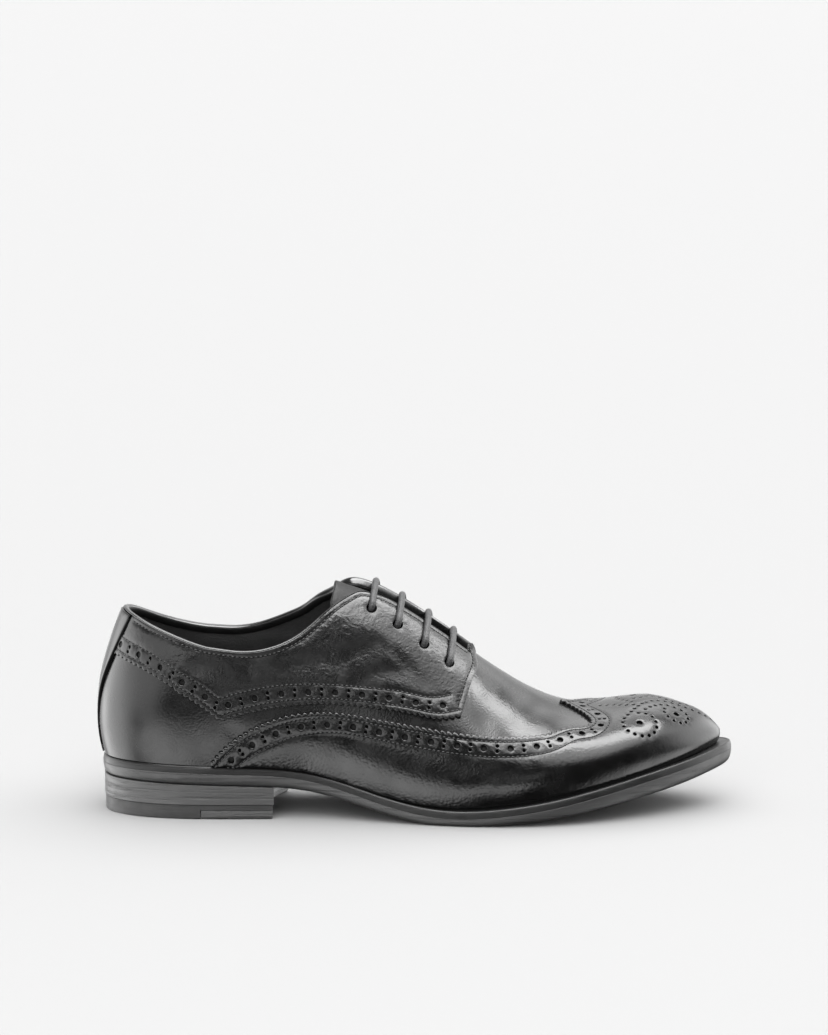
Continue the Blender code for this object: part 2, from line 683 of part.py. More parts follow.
def make_plate(name, levels, finish, end=None, count=46):
    """A plate on the sole's outline. levels go round its section, from the top edge down the side to
    the bottom edge, as pairs of inset and height, where a height is a function of distance along."""
    edges = [half_widths(by) for by, height in levels]
    shared = np.linspace(0, 1, count + 1)
    ease = (1 - np.cos(math.pi * shared)) / 2
    ease = 0.75 * ease + 0.25 * shared
    vertices = []
    for f in ease:
        lateral_side = []
        medial_side = []
        for (by, height), (edge, first, last) in zip(levels, edges):
            stop = last - 0.02 if end is None else end
            x = first + 0.02 + (stop - first - 0.02) * f
            lateral, medial = edge(x)
            lateral_side.append((x, lateral, float(height(x))))
            medial_side.append((x, medial, float(height(x))))
        vertices += lateral_side + medial_side[::-1]
    ring = 2 * len(levels)
    faces = []
    for i in range(count):
        for k in range(ring):
            n = (k + 1) % ring
            faces.append((i * ring + k, i * ring + n, (i + 1) * ring + n, (i + 1) * ring + k))
    rows = len(levels)
    for i, flip in ((0, False), (count, True)):
        for k in range(rows - 1):
            cap = (i * ring + k, i * ring + ring - 1 - k, i * ring + ring - 2 - k, i * ring + k + 1)
            faces.append(cap if not flip else cap[::-1])
    item = add_object(name, vertices, faces, finish, smooth=False)
    shade_by_angle(item)
    return item


def shade_by_angle(item):
    """Smooth along the plate, sharp over its edges."""
    sharp_over = math.radians(32)
    shape = bmesh.new()
    shape.from_mesh(item.data)
    bmesh.ops.recalc_face_normals(shape, faces=shape.faces)
    for face in shape.faces:
        face.smooth = True
    for edge in shape.edges:
        edge.smooth = edge.calc_face_angle(0.0) < sharp_over
    shape.to_mesh(item.data)
    shape.free()


def seat(x):
    return SECTION["seat"](x)


def welt_foot(x):
    return SECTION["seat"](x) - WELT


def tread(x):
    return np.maximum(SECTION["seat"](x) - SECTION["sole"](x), 0.0)


def make_welt(finish):
    """A strip round the whole sole, with rounded outer edges, that the upper stands on."""
    soft = 0.7
    s = np.linspace(0, 1, 85)[:-1]
    inner = SECTION["ledge"](OUTLINE(s)[..., 0]) + WELT_LAP
    rings = []
    for by, down in ((inner, 0.0), (soft, 0.0), (0.0, soft), (0.0, WELT - soft), (soft, WELT), (inner, WELT)):
        plan = inset(s, np.broadcast_to(by, s.shape))
        rings.append(np.column_stack([plan, seat(plan[:, 0]) - down]))
    rows = len(rings)
    vertices = np.stack(rings, 1).reshape(-1, 3)
    faces = []
    for i in range(len(s)):
        j = (i + 1) % len(s)
        for k in range(rows):
            n = (k + 1) % rows
            faces.append((i * rows + k, i * rows + n, j * rows + n, j * rows + k))
    item = add_object("welt", vertices, faces, finish, smooth=False)
    shade_by_angle(item)
    return item


def make_outsole(finish):
    soft = 0.8
    levels = [(soft, lambda x: welt_foot(x) - GAP), (0.25, lambda x: welt_foot(x) - GAP - soft),
              (0.25, lambda x: tread(x) + soft), (soft + 0.25, tread)]
    return make_plate("outsole", levels, finish)


def make_insole(finish):
    def edge(s):
        return SECTION["ledge"](OUTLINE(s)[..., 0]) + WELT_LAP + 0.4

    levels = [(edge, lambda x: seat(x) + INSOLE - WELT), (edge, lambda x: welt_foot(x) + 0.1)]
    return make_plate("insole", levels, finish)


def breast_knife():
    turn = Vector((*BREAST_CENTRE, 0.0))

    def drum(shape):
        bmesh.ops.create_cone(shape, cap_ends=True, segments=128, radius1=BREAST_RADIUS * MM,
                              radius2=BREAST_RADIUS * MM, depth=80 * MM)
        middle = centred([turn])[0]
        bmesh.ops.translate(shape, verts=shape.verts, vec=Vector(middle))

    return make_cutter("breast_knife", drum)


def box_knife(name, low, high):
    def block(shape):
        bmesh.ops.create_cube(shape, size=1.0)
        a, b = centred([low, high])
        bmesh.ops.scale(shape, verts=shape.verts, vec=Vector(b - a))
        bmesh.ops.translate(shape, verts=shape.verts, vec=Vector((a + b) / 2))

    return make_cutter(name, block)


def level(height):
    return lambda x: np.full(np.shape(x), float(height))


def make_heel(stack_finish, rubber_finish):
    """Stacked heel block, its rubber top piece with the rear tip, and the leather front lift."""
    front = 96.0
    bays = 18
    soft = 0.6
    block = HEEL_INSET + 0.6 * HEEL_TAPER
    side = HEEL_INSET + 0.7 * HEEL_TAPER
    lift_side = side + 0.15
    foot = side + HEEL_TAPER
    knife = breast_knife()
    levels = [(HEEL_INSET, lambda x: tread(x) - GAP), (block, level(LIFT + GAP))]
    stack = make_plate("heel_stack", levels, stack_finish, front, bays)
    levels = [(side, level(LIFT)), (side + GAP, level(soft)), (foot, level(0))]
    top_piece = make_plate("heel_top_piece", levels, rubber_finish, front, bays)
    levels = [(lift_side, level(FRONT_LIFT)), (side + GAP, level(soft)), (foot, level(0))]
    lift = make_plate("heel_front_lift", levels, stack_finish, front, bays)
    for piece in (stack, top_piece, lift):
        cut(piece, knife)
    below, beside, beyond = -5.0, 60.0, 130.0
    seat_of_lift = (beyond, beside, FRONT_LIFT + GAP)
    cut(top_piece, box_knife("tip_knife", (FRONT_LIFT_START, -beside, below), seat_of_lift))
    behind_lift = (FRONT_LIFT_START + GAP, beside, LIFT)
    cut(lift, box_knife("lift_knife", (-beside, -beside, below), behind_lift))


def shoe_box_centre():
    """Middle of the shoe's box seen from above."""
    reach = np.vstack([OUTLINE(np.linspace(0, 1, 2001)), PATTERN.grid[:, :, :2].reshape(-1, 2)])
    back = PATTERN.grid[0, :, 0].min() - OVERLAY_GAP - OVERLAY
    low = np.array([back, reach[:, 1].min()])
    return (low + reach.max(axis=0)) / 2


clear_scene()
SHOE = collection("brogue")
CUTTERS = collection("cutters")
BOX_CENTRE = shoe_box_centre()
base = make_upper(material("vamp_leather", LEATHER, 0.42))
make_tongue(material("tongue_leather", LINING, 0.5))
make_wing(material("wing_leather", LEATHER, 0.38))
sides = {name: make_quarter(name, material("quarter_%s_leather" % name, LEATHER, 0.4)) for name in SIGN}
make_back_strip(material("strip_leather", LEATHER, 0.4))
punch_eyelets(base, sides)
make_lace(material("waxed_cord", CORD, 0.55))
make_welt(material("welt_leather", EDGE, 0.5))
make_outsole(material("sole_leather", EDGE, 0.48))
make_insole(material("insole_lining", LINING, 0.6))
make_heel(material("stacked_leather", STACK, 0.45), material("heel_rubber", RUBBER, 0.6))
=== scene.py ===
# %% [markdown]
# Black derby brogue for the right foot. The imported solids give every size and place; this lesson
# dresses them: leather that is really cut and punched, thread that is really sewn, a lace that
# really runs through its eyelets. We load the solids first and keep their box. Nothing that we add
# may make the shoe bigger.

# %% Load the frame
import math

import bmesh
import bpy
import numpy as np
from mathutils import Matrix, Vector
from mathutils.geometry import delaunay_2d_cdt
from mathutils.kdtree import KDTree


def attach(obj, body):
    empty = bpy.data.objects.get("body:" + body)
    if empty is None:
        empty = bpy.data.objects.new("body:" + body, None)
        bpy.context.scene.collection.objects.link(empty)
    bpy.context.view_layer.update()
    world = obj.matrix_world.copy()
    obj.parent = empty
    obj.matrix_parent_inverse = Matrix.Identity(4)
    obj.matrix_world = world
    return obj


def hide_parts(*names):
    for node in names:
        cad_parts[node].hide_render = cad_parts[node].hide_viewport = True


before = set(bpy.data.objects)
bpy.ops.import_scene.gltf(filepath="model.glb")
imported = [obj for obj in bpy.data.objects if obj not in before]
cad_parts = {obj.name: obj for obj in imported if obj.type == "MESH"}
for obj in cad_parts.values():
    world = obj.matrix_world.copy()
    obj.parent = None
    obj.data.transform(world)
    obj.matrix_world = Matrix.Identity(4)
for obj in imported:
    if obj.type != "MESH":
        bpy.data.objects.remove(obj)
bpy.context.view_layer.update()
MM = 0.001

# %% [markdown]
# A shoe is built on a last, a solid foot. Its ribs run from the feather edge, where the upper meets
# the welt, up to the ridge on top of the foot. A sculpted mesh could stand in for it, but a table of
# sections is easier to keep in step with the solids, so the sizes here are those of the part, in
# millimetres: x from heel to toe, y to the medial side, z up.

# %% Sizes of the last
LENGTH = 302.5
BALL_WIDTH = 100.0
INSTEP = 100.0
HEEL = 27.0
TOE_OFFSET = 4.0
GAP = 0.3
WALL = 1.8
OVERLAY = 1.3
OVERLAY_GAP = 0.6
BELLY_T = 0.2
COLUMNS = ("along", "lateral", "medial", "ledge", "seat", "sole", "ridge", "crest",
           "bulge", "belly", "wall", "crown")
SECTIONS = [
    (1.3, 15.0, 15.0, 0.6, 99.6, 9.4, 0.0, 140.0, 2.4, 17.5, 0.38, 0.23),
    (5.3, 25.5, 25.5, 0.7, 99.0, 9.4, 0.0, 139.5, 2.4, 18.0, 0.38, 0.28),
    (12.6, 32.0, 32.0, 0.8, 97.0, 9.4, 0.0, 138.0, 2.0, 20.0, 0.36, 0.40),
    (23.1, 33.0, 31.5, 1.1, 93.3, 9.3, 0.0, 128.5, 1.8, 20.0, 0.33, 0.45),
    (33.1, 33.5, 29.0, 1.8, 83.0, 8.9, 0.0, 116.0, 2.5, 18.0, 0.30, 0.47),
    (43.0, 39.5, 31.8, 3.4, 52.0, 8.1, 0.3, 106.6, 3.0, 15.0, 0.28, 0.50),
    (52.9, 46.5, 40.5, 4.5, 29.0, 7.9, 1.0, 87.8, 3.0, 13.0, 0.30, 0.50),
    (62.1, 50.0, 48.6, 5.0, 31.5, 7.8, 3.5, 67.4, 3.0, 12.0, 0.38, 0.50),
    (71.1, 48.5, 51.5, 5.2, 46.0, 9.0, 8.0, 51.5, 2.6, 11.0, 0.48, 0.55),
    (79.3, 42.0, 48.0, 5.2, 65.2, 10.2, 11.0, 47.2, 2.3, 9.5, 0.54, 0.60),
    (86.6, 32.5, 40.0, 5.3, 83.7, 10.7, 9.5, 50.0, 2.2, 8.0, 0.55, 0.60),
    (92.6, 22.0, 30.2, 6.4, 98.0, 10.5, 9.5, 48.1, 2.2, 6.5, 0.55, 0.62),
    (97.2, 10.0, 19.5, 7.8, 109.6, 10.2, 9.5, 42.4, 2.2, 5.5, 0.55, 0.65),
    (100.0, 0.0, 0.0, 9.2, 116.7, 10.0, 9.5, 29.6, 2.2, 5.0, 0.55, 0.65),
]
UNITS = {"along": LENGTH / 100, "lateral": BALL_WIDTH / 100, "medial": BALL_WIDTH / 100,
         "seat": HEEL / 100, "crest": INSTEP / 100}
HEEL_POLE = 12.6 * LENGTH / 100
TOE_POLE = 86.6 * LENGTH / 100
print("sections of the last:", len(SECTIONS))

# %% [markdown]
# Between the rows of the table the last is smooth, so every column becomes a natural cubic spline. A
# few short helpers come with it, because the whole lesson needs them: unit vectors, directions turned
# to the left, the distance along a row of points, and a soft step.


# %% Smooth curves through a table
def through(keys, values):
    """A smooth function through a table's rows: the natural cubic spline."""
    keys = np.asarray(keys, float)
    values = np.asarray(values, float)
    last = len(keys) - 1
    step = np.diff(keys)
    matrix = np.eye(last + 1)
    right = np.zeros(last + 1)
    for i in range(1, last):
        matrix[i, i - 1:i + 2] = step[i - 1], 2 * (step[i - 1] + step[i]), step[i]
        right[i] = 6 * ((values[i + 1] - values[i]) / step[i] - (values[i] - values[i - 1]) / step[i - 1])
    bend = np.linalg.solve(matrix, right)

    def at(place):
        x = np.clip(np.asarray(place, float), keys[0], keys[-1])
        i = np.clip(np.searchsorted(keys, x, side="right") - 1, 0, last - 1)
        u = (keys[i + 1] - x) / step[i]
        v = (x - keys[i]) / step[i]
        curve = ((u**3 - u) * bend[i] + (v**3 - v) * bend[i + 1]) * step[i] ** 2 / 6
        return u * values[i] + v * values[i + 1] + curve

    return at


def column(name):
    k = COLUMNS.index(name)
    unit = UNITS.get(name, 1.0)
    along = [row[0] * LENGTH / 100 for row in SECTIONS]
    return through(along, [row[k] * unit for row in SECTIONS])


SECTION = {name: column(name) for name in COLUMNS[1:]}


def unit(vectors):
    return vectors / np.linalg.norm(vectors, axis=-1, keepdims=True)


def left(ways):
    """Flat directions turned a quarter to the left."""
    return np.stack([-ways[..., 1], ways[..., 0]], -1)


def run_along(points):
    """Distance along a row of points, counted from the first."""
    return np.concatenate([[0.0], np.cumsum(np.linalg.norm(np.diff(points, axis=0), axis=1))])


def ramp(value, start, end):
    """0 up to start, 1 from end on, and straight between them."""
    return np.clip((value - start) / (end - start), 0, 1)


def ease(share):
    """A share from 0 to 1 with soft ends."""
    return share * share * (3 - 2 * share)


print("columns turned to curves:", len(SECTION))

# %% [markdown]
# Seen from above, the sole is one closed spline through the widths of the sections. A place on the
# last is two numbers: s goes round the feather edge, t goes up a rib to the ridge. A rib first bulges
# over the welt, then a cubic curve takes it to the ridge. A formula like this costs nothing to ask
# again, so every layer of the shoe can stand at its own height on the same last.

# %% The last as a function
NUDGE = 0.002


def sole_outline():
    """The sole seen from above as a closed smooth curve of s, from 0 to 1."""
    lateral = [(row[0] * LENGTH / 100, -row[1] * BALL_WIDTH / 100) for row in SECTIONS[:-1]]
    medial = [(row[0] * LENGTH / 100, row[2] * BALL_WIDTH / 100) for row in SECTIONS[:-1]]
    points = np.array([(0.0, 0.0)] + lateral + [(LENGTH, TOE_OFFSET)] + medial[::-1])
    count = len(points)
    wrap = 6
    chord = np.linalg.norm(np.roll(points, -1, 0) - points, axis=1)
    run = np.concatenate([[0.0], np.cumsum(chord)])
    keys = np.concatenate([run[count - wrap:count] - run[-1], run[:-1], run[:wrap + 1] + run[-1]])
    rows = np.concatenate([points[count - wrap:], points, points[:wrap + 1]])
    along, across = through(keys, rows[:, 0]), through(keys, rows[:, 1])

    def at(s):
        place = np.mod(np.asarray(s, float), 1.0) * run[-1]
        return np.stack([along(place), across(place)], -1)

    return at, run[-1]


OUTLINE, GIRTH = sole_outline()


def inset(s, by):
    """The sole's outline moved inward."""
    s = np.asarray(s, float)
    reach = OUTLINE(s + 1e-4) - OUTLINE(s - 1e-4)
    return OUTLINE(s) + unit(left(reach)) * np.asarray(by, float)[..., None]


def feather(s):
    return inset(s, SECTION["ledge"](OUTLINE(s)[..., 0]))


def ridge_at(x):
    return SECTION["ridge"](np.clip(x, HEEL_POLE, TOE_POLE))


def spine(foot):
    """The ridge point that a rib starting at this feather point runs to, seen from above."""
    x = np.clip(foot[..., 0], HEEL_POLE, TOE_POLE)
    return np.stack([x, ridge_at(x)], -1)


def on_last(s, t):
    """A point of the last: s goes round the feather edge, t up the rib from 0 to 1 at the ridge."""
    s, t = np.broadcast_arrays(np.asarray(s, float), np.asarray(t, float))
    foot = feather(s)
    top = spine(foot)
    reach = foot - top
    width = np.linalg.norm(reach, axis=-1)
    shape = ("bulge", "belly", "wall", "crown")
    bulge, belly, wall, crown = [SECTION[name](foot[..., 0]) for name in shape]
    base = SECTION["seat"](foot[..., 0]) + GAP
    low = np.clip(t / BELLY_T, 0, 1)
    u = np.clip((t - BELLY_T) / (1 - BELLY_T), 0, 1)
    full = 1 + bulge / width
    under = 1 + bulge / width * (1 - (1 - low) ** 2)
    over = full * ((1 - u) ** 3 + 3 * (1 - u) ** 2 * u + crown * 3 * (1 - u) * u**2)
    plan = top + reach * np.where(t < BELLY_T, under, over)[..., None]
    crest = SECTION["crest"](np.maximum(plan[..., 0], HEEL_POLE))
    climb = wall * 3 * (1 - u) ** 2 * u + 3 * (1 - u) * u**2 + u**3
    height = np.where(t < BELLY_T, base + belly * low, base + belly + (crest - base - belly) * climb)
    return np.concatenate([plan, height[..., None]], -1)


def outward(s, t):
    """The last's normal, taken a little below the ridge so that it stays defined there."""
    t = np.clip(np.asarray(t, float), NUDGE, 1 - 6 * NUDGE)
    round_it = on_last(s + NUDGE / 4, t) - on_last(s - NUDGE / 4, t)
    up_it = on_last(s, t + NUDGE) - on_last(s, t - NUDGE)
    return unit(np.cross(round_it, up_it))


print("girth of the sole: %.0f mm" % GIRTH)

# %% [markdown]
# Leather is cut flat. A pattern maker peels the last like an orange: each rib is laid out straight
# and keeps its length. Working on that flat pattern lets us draw edges, rows of holes and seams as
# plane curves, and then lay them back on the last.

# %% The flat pattern
TABLE_RIBS = 720
TABLE_STEPS = 160


class Pattern:
    """The last laid flat: a rib keeps its length and stays square to the ridge, or fans out at the ends."""

    def __init__(self):
        self.s = np.arange(TABLE_RIBS + 1) / TABLE_RIBS
        self.t = np.linspace(0, 1, TABLE_STEPS + 1)
        self.grid = on_last(self.s[:, None], self.t[None, :])
        piece = np.linalg.norm(np.diff(self.grid, axis=1), axis=-1)
        self.run = np.zeros((TABLE_RIBS + 1, TABLE_STEPS + 1))
        self.run[:, :-1] = np.cumsum(piece[:, ::-1], axis=1)[:, ::-1]
        self.foot = feather(self.s)
        self.top = spine(self.foot)
        self.way = unit(self.foot - self.top)
        self.tip = int(np.argmax(self.foot[:, 0]))

    def side(self, name):
        return slice(0, self.tip + 1) if name == "lateral" else slice(TABLE_RIBS, self.tip - 1, -1)

    def rib_at(self, name, x):
        """s of the rib whose feather point lies this far along."""
        part = self.side(name)
        return np.interp(x, self.foot[part, 0], self.s[part])

    def between_ribs(self, s):
        """The rib before each s, the share of the way to the next one, and the runs up to the ridge."""
        rib = np.mod(s, 1.0) * TABLE_RIBS
        i = np.minimum(rib.astype(int), TABLE_RIBS - 1)
        u = (rib - i)[:, None]
        return i, u, (1 - u) * self.run[i] + u * self.run[i + 1]

    def flat(self, s, t):
        """Where a point of the last lies on the flat pattern."""
        s = np.atleast_1d(np.asarray(s, float))
        t = np.broadcast_to(np.asarray(t, float), s.shape)
        i, u, runs = self.between_ribs(s)
        run = np.array([np.interp(value, self.t, row) for value, row in zip(t, runs)])
        way = unit((1 - u) * self.way[i] + u * self.way[i + 1])
        return (1 - u) * self.top[i] + u * self.top[i + 1] + way * run[:, None]

    def lay(self, points):
        """(s, t) of points of the flat pattern."""
        x, y = np.asarray(points, float).T
        ridge = ridge_at(x)
        s = np.where(y < ridge, self.rib_at("lateral", x), self.rib_at("medial", x))
        run = np.abs(y - ridge)
        for pole, sign in ((HEEL_POLE, -1.0), (TOE_POLE, 1.0)):
            beyond = (x - pole) * sign > 0
            fan = np.where((self.foot[:, 0] - pole) * sign > 0)[0]
            turn = np.arctan2(self.way[fan, 1], self.way[fan, 0] * sign)
            place = np.where((sign < 0) & (self.s[fan] > 0.5), self.s[fan] - 1, self.s[fan])
            order = np.argsort(turn)
            centre = float(ridge_at(pole))
            aim = np.arctan2(y - centre, (x - pole) * sign)
            s = np.where(beyond, np.interp(aim, turn[order], place[order]), s)
            run = np.where(beyond, np.hypot(x - pole, y - centre), run)
        s = np.mod(s, 1.0)
        runs = self.between_ribs(s)[2]
        t = np.array([np.interp(-value, -row, self.t) for value, row in zip(run, runs)])
        return s, t

    def at_height(self, name, x, z):
        """(s, t) of the point of one side that lies this far along at this height."""
        part = self.side(name)
        t = np.array([np.interp(z, row, self.t) for row in self.grid[part, :, 2]])
        along = np.array([np.interp(value, self.t, row) for value, row in zip(t, self.grid[part, :, 0])])
        return float(np.interp(x, along, self.s[part])), float(np.interp(x, along, t))

    def edge(self, name, rows):
        """Flat points of a line given as distance along and height on one side."""
        places = np.array([self.at_height(name, x, z) for x, z in rows])
        return self.flat(places[:, 0], places[:, 1])


PATTERN = Pattern()
SIGN = {"lateral": -1.0, "medial": 1.0}


def off_ridge(rows, sign):
    """Flat points given as distance along and from the ridge."""
    return np.array([(x, ridge_at(x) + sign * d) for x, d in rows])


print("pattern: %d ribs of %d steps" % (TABLE_RIBS, TABLE_STEPS))

# %% [markdown]
# Edges of the leather pieces, as short tables read off the real shoe: the collar and the facing of
# the open lacing, the lower edge of the quarters, the wing with its peak, the strip over the back
# seam. The collar, the wing and the tongue keep the rows of the part's source; the lateral facing, the
# eyelets, the strip and the rear of the quarters are set a few millimetres closer to the real shoe.

# %% Edges of the pieces
COLLAR = {
    "lateral": [(8, 98.5), (15, 96), (21, 93.4), (35, 87.8), (52, 82), (68, 80), (85, 82.5), (97, 88.5),
                (108, 97)],
    "medial": [(8, 98.5), (15, 94.6), (21, 91.2), (35, 85.4), (50, 82.4), (63, 82), (76, 84.6), (90, 90.5),
               (97, 94.4), (103, 99.2)],
}
FACING_EDGE = {
    "lateral": [(119, 14.5), (122.6, 11.6), (127, 10.4), (133, 9.6), (145, 9.6), (160, 10), (170, 10.6),
                (176, 11.5)],
    "medial": [(111, 15), (114.5, 11), (119, 7), (125, 5.4), (133, 5.4), (145, 6), (160, 6.4), (170, 7.2),
               (176, 8.5)],
}
FACING_CORNER = [(178, 13.5), (178.4, 16.5), (178, 21), (176.2, 28), (174, 38.5), (171.8, 48)]
THROAT_END = 176.0
QUARTER_EDGE = [(6.6, 77.2), (13, 75.6), (21, 72.6), (31, 67.4), (40, 61.4), (51, 54.4), (58, 49), (68, 52),
                (80, 54.5), (94, 56.3), (107, 56.8), (120, 56.2), (134, 54.8), (148, 52.8), (161, 50.3)]
QUARTER_POINT = 6
WING_EDGE = [(57, 31), (66, 39), (75, 44.3), (84, 48), (94, 50.4), (105, 51.3), (117, 50.8), (130, 48.8),
             (147, 46), (166, 43), (186, 40.8), (200, 40.2), (213, 40.8), (225, 42.2)]
WING_TAIL = 53.5
WING_PEAK = [(231.5, 27), (234.5, 21.5), (234, 18.5), (228, 8), (222, 1.5), (219.5, 0)]
TOE_AXIS = 3.0
BACK_STRIP = [(27.5, 4.6), (42, 4.6), (52, 5.4), (62, 8.8), (69, 11.6), (77, 14.7), (86, 17.8), (96.5, 21.5)]
EYELETS = [(128.8, 18.2), (141.0, 20.8), (153.4, 23.6), (165.2, 25.8)]
EYELET = 4.6
EYELET_LEAN = 2.5
TONGUE_SHAPE = [(112.4, 0), (112, 8), (110.6, 15), (110.6, 19.5), (113, 22.5), (122, 23.5), (145, 22),
                (170, 18), (186, 15)]
TONGUE = 2.0
TONGUE_DROP = WALL + 1.35


def opening_table():
    """t of the collar and of the facing's edge on every rib of the table."""
    opening = np.ones(TABLE_RIBS + 1)
    for name in SIGN:
        height = through(*zip(*COLLAR[name]))
        side_rows = [row for row in COLLAR[name] if row[0] > HEEL_POLE]
        flat = PATTERN.edge(name, side_rows)
        run = np.abs(flat[:, 1] - ridge_at(flat[:, 0]))
        away = through(list(flat[:, 0]) + [x for x, d in FACING_EDGE[name]],
                       list(run) + [d for x, d in FACING_EDGE[name]])
        for i in np.arange(TABLE_RIBS + 1)[PATTERN.side(name)]:
            x = PATTERN.foot[i, 0]
            if x > THROAT_END:
                continue
            over = PATTERN.grid[i, :, 2] - height(PATTERN.grid[i, :, 0])
            by_height = np.interp(0.0, over, PATTERN.t)
            by_run = np.interp(-away(x), -PATTERN.run[i], PATTERN.t)
            opening[i] = by_height if x < side_rows[0][0] else by_run
    return opening


OPENING = opening_table()


def opening(s):
    return np.interp(np.mod(s, 1.0), PATTERN.s, OPENING)


behind_facing = PATTERN.foot[:, 0] < COLLAR["lateral"][-1][0]
print("lowest point of the collar: %.1f mm" % on_last(PATTERN.s, OPENING)[behind_facing, 2].min())

# %% [markdown]
# Leather that has been worn a little, or pulled hard over the last, keeps soft troughs with a low
# ridge on each side. They are placed one by one, each from one point of the side to another, with a
# half width and a depth, and every layer of leather follows them.

# %% Creases
CREASES = {
    "lateral": [
        (44, 74, 74, 71, 5.0, 0.45), (62, 76, 100, 76, 4.5, 0.4), (84, 70, 112, 78, 5.0, 0.45),
        (110, 72, 134, 84, 5.5, 0.5), (120, 66, 146, 71, 5.0, 0.4), (138, 80, 150, 70, 4.0, 0.35),
        (181, 46, 190, 61, 6.0, 0.5), (197, 43, 209, 53, 7.0, 0.45), (212, 40, 222, 46, 6.0, 0.35),
        (186, 24, 206, 31, 7.0, 0.35), (168, 24, 186, 34, 6.0, 0.3), (60, 44, 74, 38, 6.0, 0.3),
    ],
    "medial": [
        (46, 74, 76, 72, 5.0, 0.45), (66, 77, 98, 78, 4.5, 0.4), (88, 68, 116, 76, 5.0, 0.45),
        (114, 74, 136, 86, 5.5, 0.45), (124, 66, 148, 70, 5.0, 0.4), (180, 47, 188, 60, 6.0, 0.5),
        (196, 44, 206, 52, 7.0, 0.45), (186, 24, 208, 30, 7.0, 0.35), (160, 26, 182, 34, 6.0, 0.3),
    ],
}


def crease_lines():
    lines = []
    for name, rows in CREASES.items():
        for x0, z0, x1, z1, half, depth in rows:
            start, end = PATTERN.edge(name, [(x0, z0), (x1, z1)])
            lines.append((start, end, half, depth))
    return lines


CREASE_LINES = crease_lines()


def wrinkle(flat):
    """How far the leather lies above the last, in millimetres."""
    total = np.zeros(len(flat))
    for start, end, half, depth in CREASE_LINES:
        span = end - start
        place = ((flat - start) @ span) / (span @ span)
        reach = np.linalg.norm(flat - start - np.clip(place, 0, 1)[:, None] * span, axis=1)
        ends = np.clip(np.minimum(place, 1 - place) * 4 + 0.5, 0, 1)
        near = (reach / half) ** 2
        total -= depth * ends * ends * (3 - 2 * ends) * (1 - near) * np.exp(-near)
    return total


def skin(flat, lift):
    """Points of the shoe for points of the flat pattern, lifted off the last."""
    flat = np.asarray(flat, float)
    s, t = PATTERN.lay(flat)
    return on_last(s, t) + outward(s, t) * (np.asarray(lift, float) + wrinkle(flat))[:, None]


print("creases:", len(CREASE_LINES))

# %% [markdown]
# Every piece goes the same way: points in millimetres, moved so that the shoe's box is centred as
# in the frame, and turned to metres. Points that nearly meet are welded, so that a piece is closed.

# %% Helpers for meshes
WELD_MM = 0.005


def shoe_box_centre():
    """Middle of the shoe's box seen from above."""
    reach = np.vstack([OUTLINE(np.linspace(0, 1, 2001)), PATTERN.grid[:, :, :2].reshape(-1, 2)])
    back = PATTERN.grid[0, :, 0].min() - OVERLAY_GAP - OVERLAY
    low = np.array([back, reach[:, 1].min()])
    return (low + reach.max(axis=0)) / 2


BOX_CENTRE = shoe_box_centre()


def metres(points):
    middle = np.array([BOX_CENTRE[0], BOX_CENTRE[1], 0.0])
    return (np.asarray(points, float) - middle) * MM


def placed(name, data):
    """A new object that is linked to the scene."""
    item = bpy.data.objects.new(name, data)
    bpy.context.scene.collection.objects.link(item)
    return item


def mesh_object(name, points, faces, finishes, sharp=50):
    """A smooth mesh object with its faces out and its hard edges sharp."""
    mesh = bpy.data.meshes.new(name)
    mesh.from_pydata(metres(points).tolist(), [], [tuple(int(i) for i in face) for face in faces])
    shape = bmesh.new()
    shape.from_mesh(mesh)
    bmesh.ops.remove_doubles(shape, verts=shape.verts, dist=WELD_MM * MM)
    bmesh.ops.delete(shape, geom=[v for v in shape.verts if not v.link_faces], context="VERTS")
    bmesh.ops.recalc_face_normals(shape, faces=shape.faces)
    shape.to_mesh(mesh)
    shape.free()
    mesh.shade_smooth()
    mesh.set_sharp_from_angle(angle=math.radians(sharp))
    for finish in finishes:
        mesh.materials.append(finish)
    return placed(name, mesh)


def quads(rings, sides, closed=False):
    """Faces between neighbouring rings of points, and from the last ring to the first if closed."""
    faces = []
    for i in range(rings if closed else rings - 1):
        for k in range(sides):
            n, m = (k + 1) % sides, (i + 1) % rings
            faces.append((i * sides + k, i * sides + n, m * sides + n, m * sides + k))
    return faces


def tube_faces(rings, sides):
    """Faces of a row of rings that is closed at both ends."""
    ends = [tuple(range(sides))[::-1], tuple((rings - 1) * sides + k for k in range(sides))]
    return quads(rings, sides) + ends


def dress(piece, slot, *nodes):
    """The piece rides on the shoe and stands for CAD nodes, which it hides; slot is not used."""
    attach(piece, "root")
    if nodes:
        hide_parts(*nodes)
    print(piece.name, "faces:", len(piece.data.polygons))


print("box centre: %.2f, %.2f mm" % tuple(BOX_CENTRE))

# %% [markdown]
# A finish is a tree of shader nodes. `add` is the one helper for them: it makes a node, sets what is
# given, and links a socket where a socket is given. `connect` does the same for a node that is there
# already, such as the shader itself.


# %% Helpers for shader nodes
def connect(tree, node, inputs):
    """Each input of a node set to a value, or linked to a socket."""
    for key, value in inputs.items():
        if isinstance(value, bpy.types.NodeSocket):
            tree.links.new(value, node.inputs[key])
        else:
            node.inputs[key].default_value = value


def add(tree, kind, inputs=None, **settings):
    """A shader node with its settings and its inputs."""
    node = tree.nodes.new(kind)
    for key, value in settings.items():
        setattr(node, key, value)
    connect(tree, node, inputs or {})
    return node


def srgb(text):
    """Linear colour of an sRGB hex value."""
    values = [int(text[i:i + 2], 16) / 255 for i in (0, 2, 4)]
    return [v / 12.92 if v <= 0.04045 else ((v + 0.055) / 1.055) ** 2.4 for v in values] + [1.0]


def material(name):
    made = bpy.data.materials.new(name)
    made.use_nodes = True
    return made, made.node_tree, made.node_tree.nodes["Principled BSDF"]


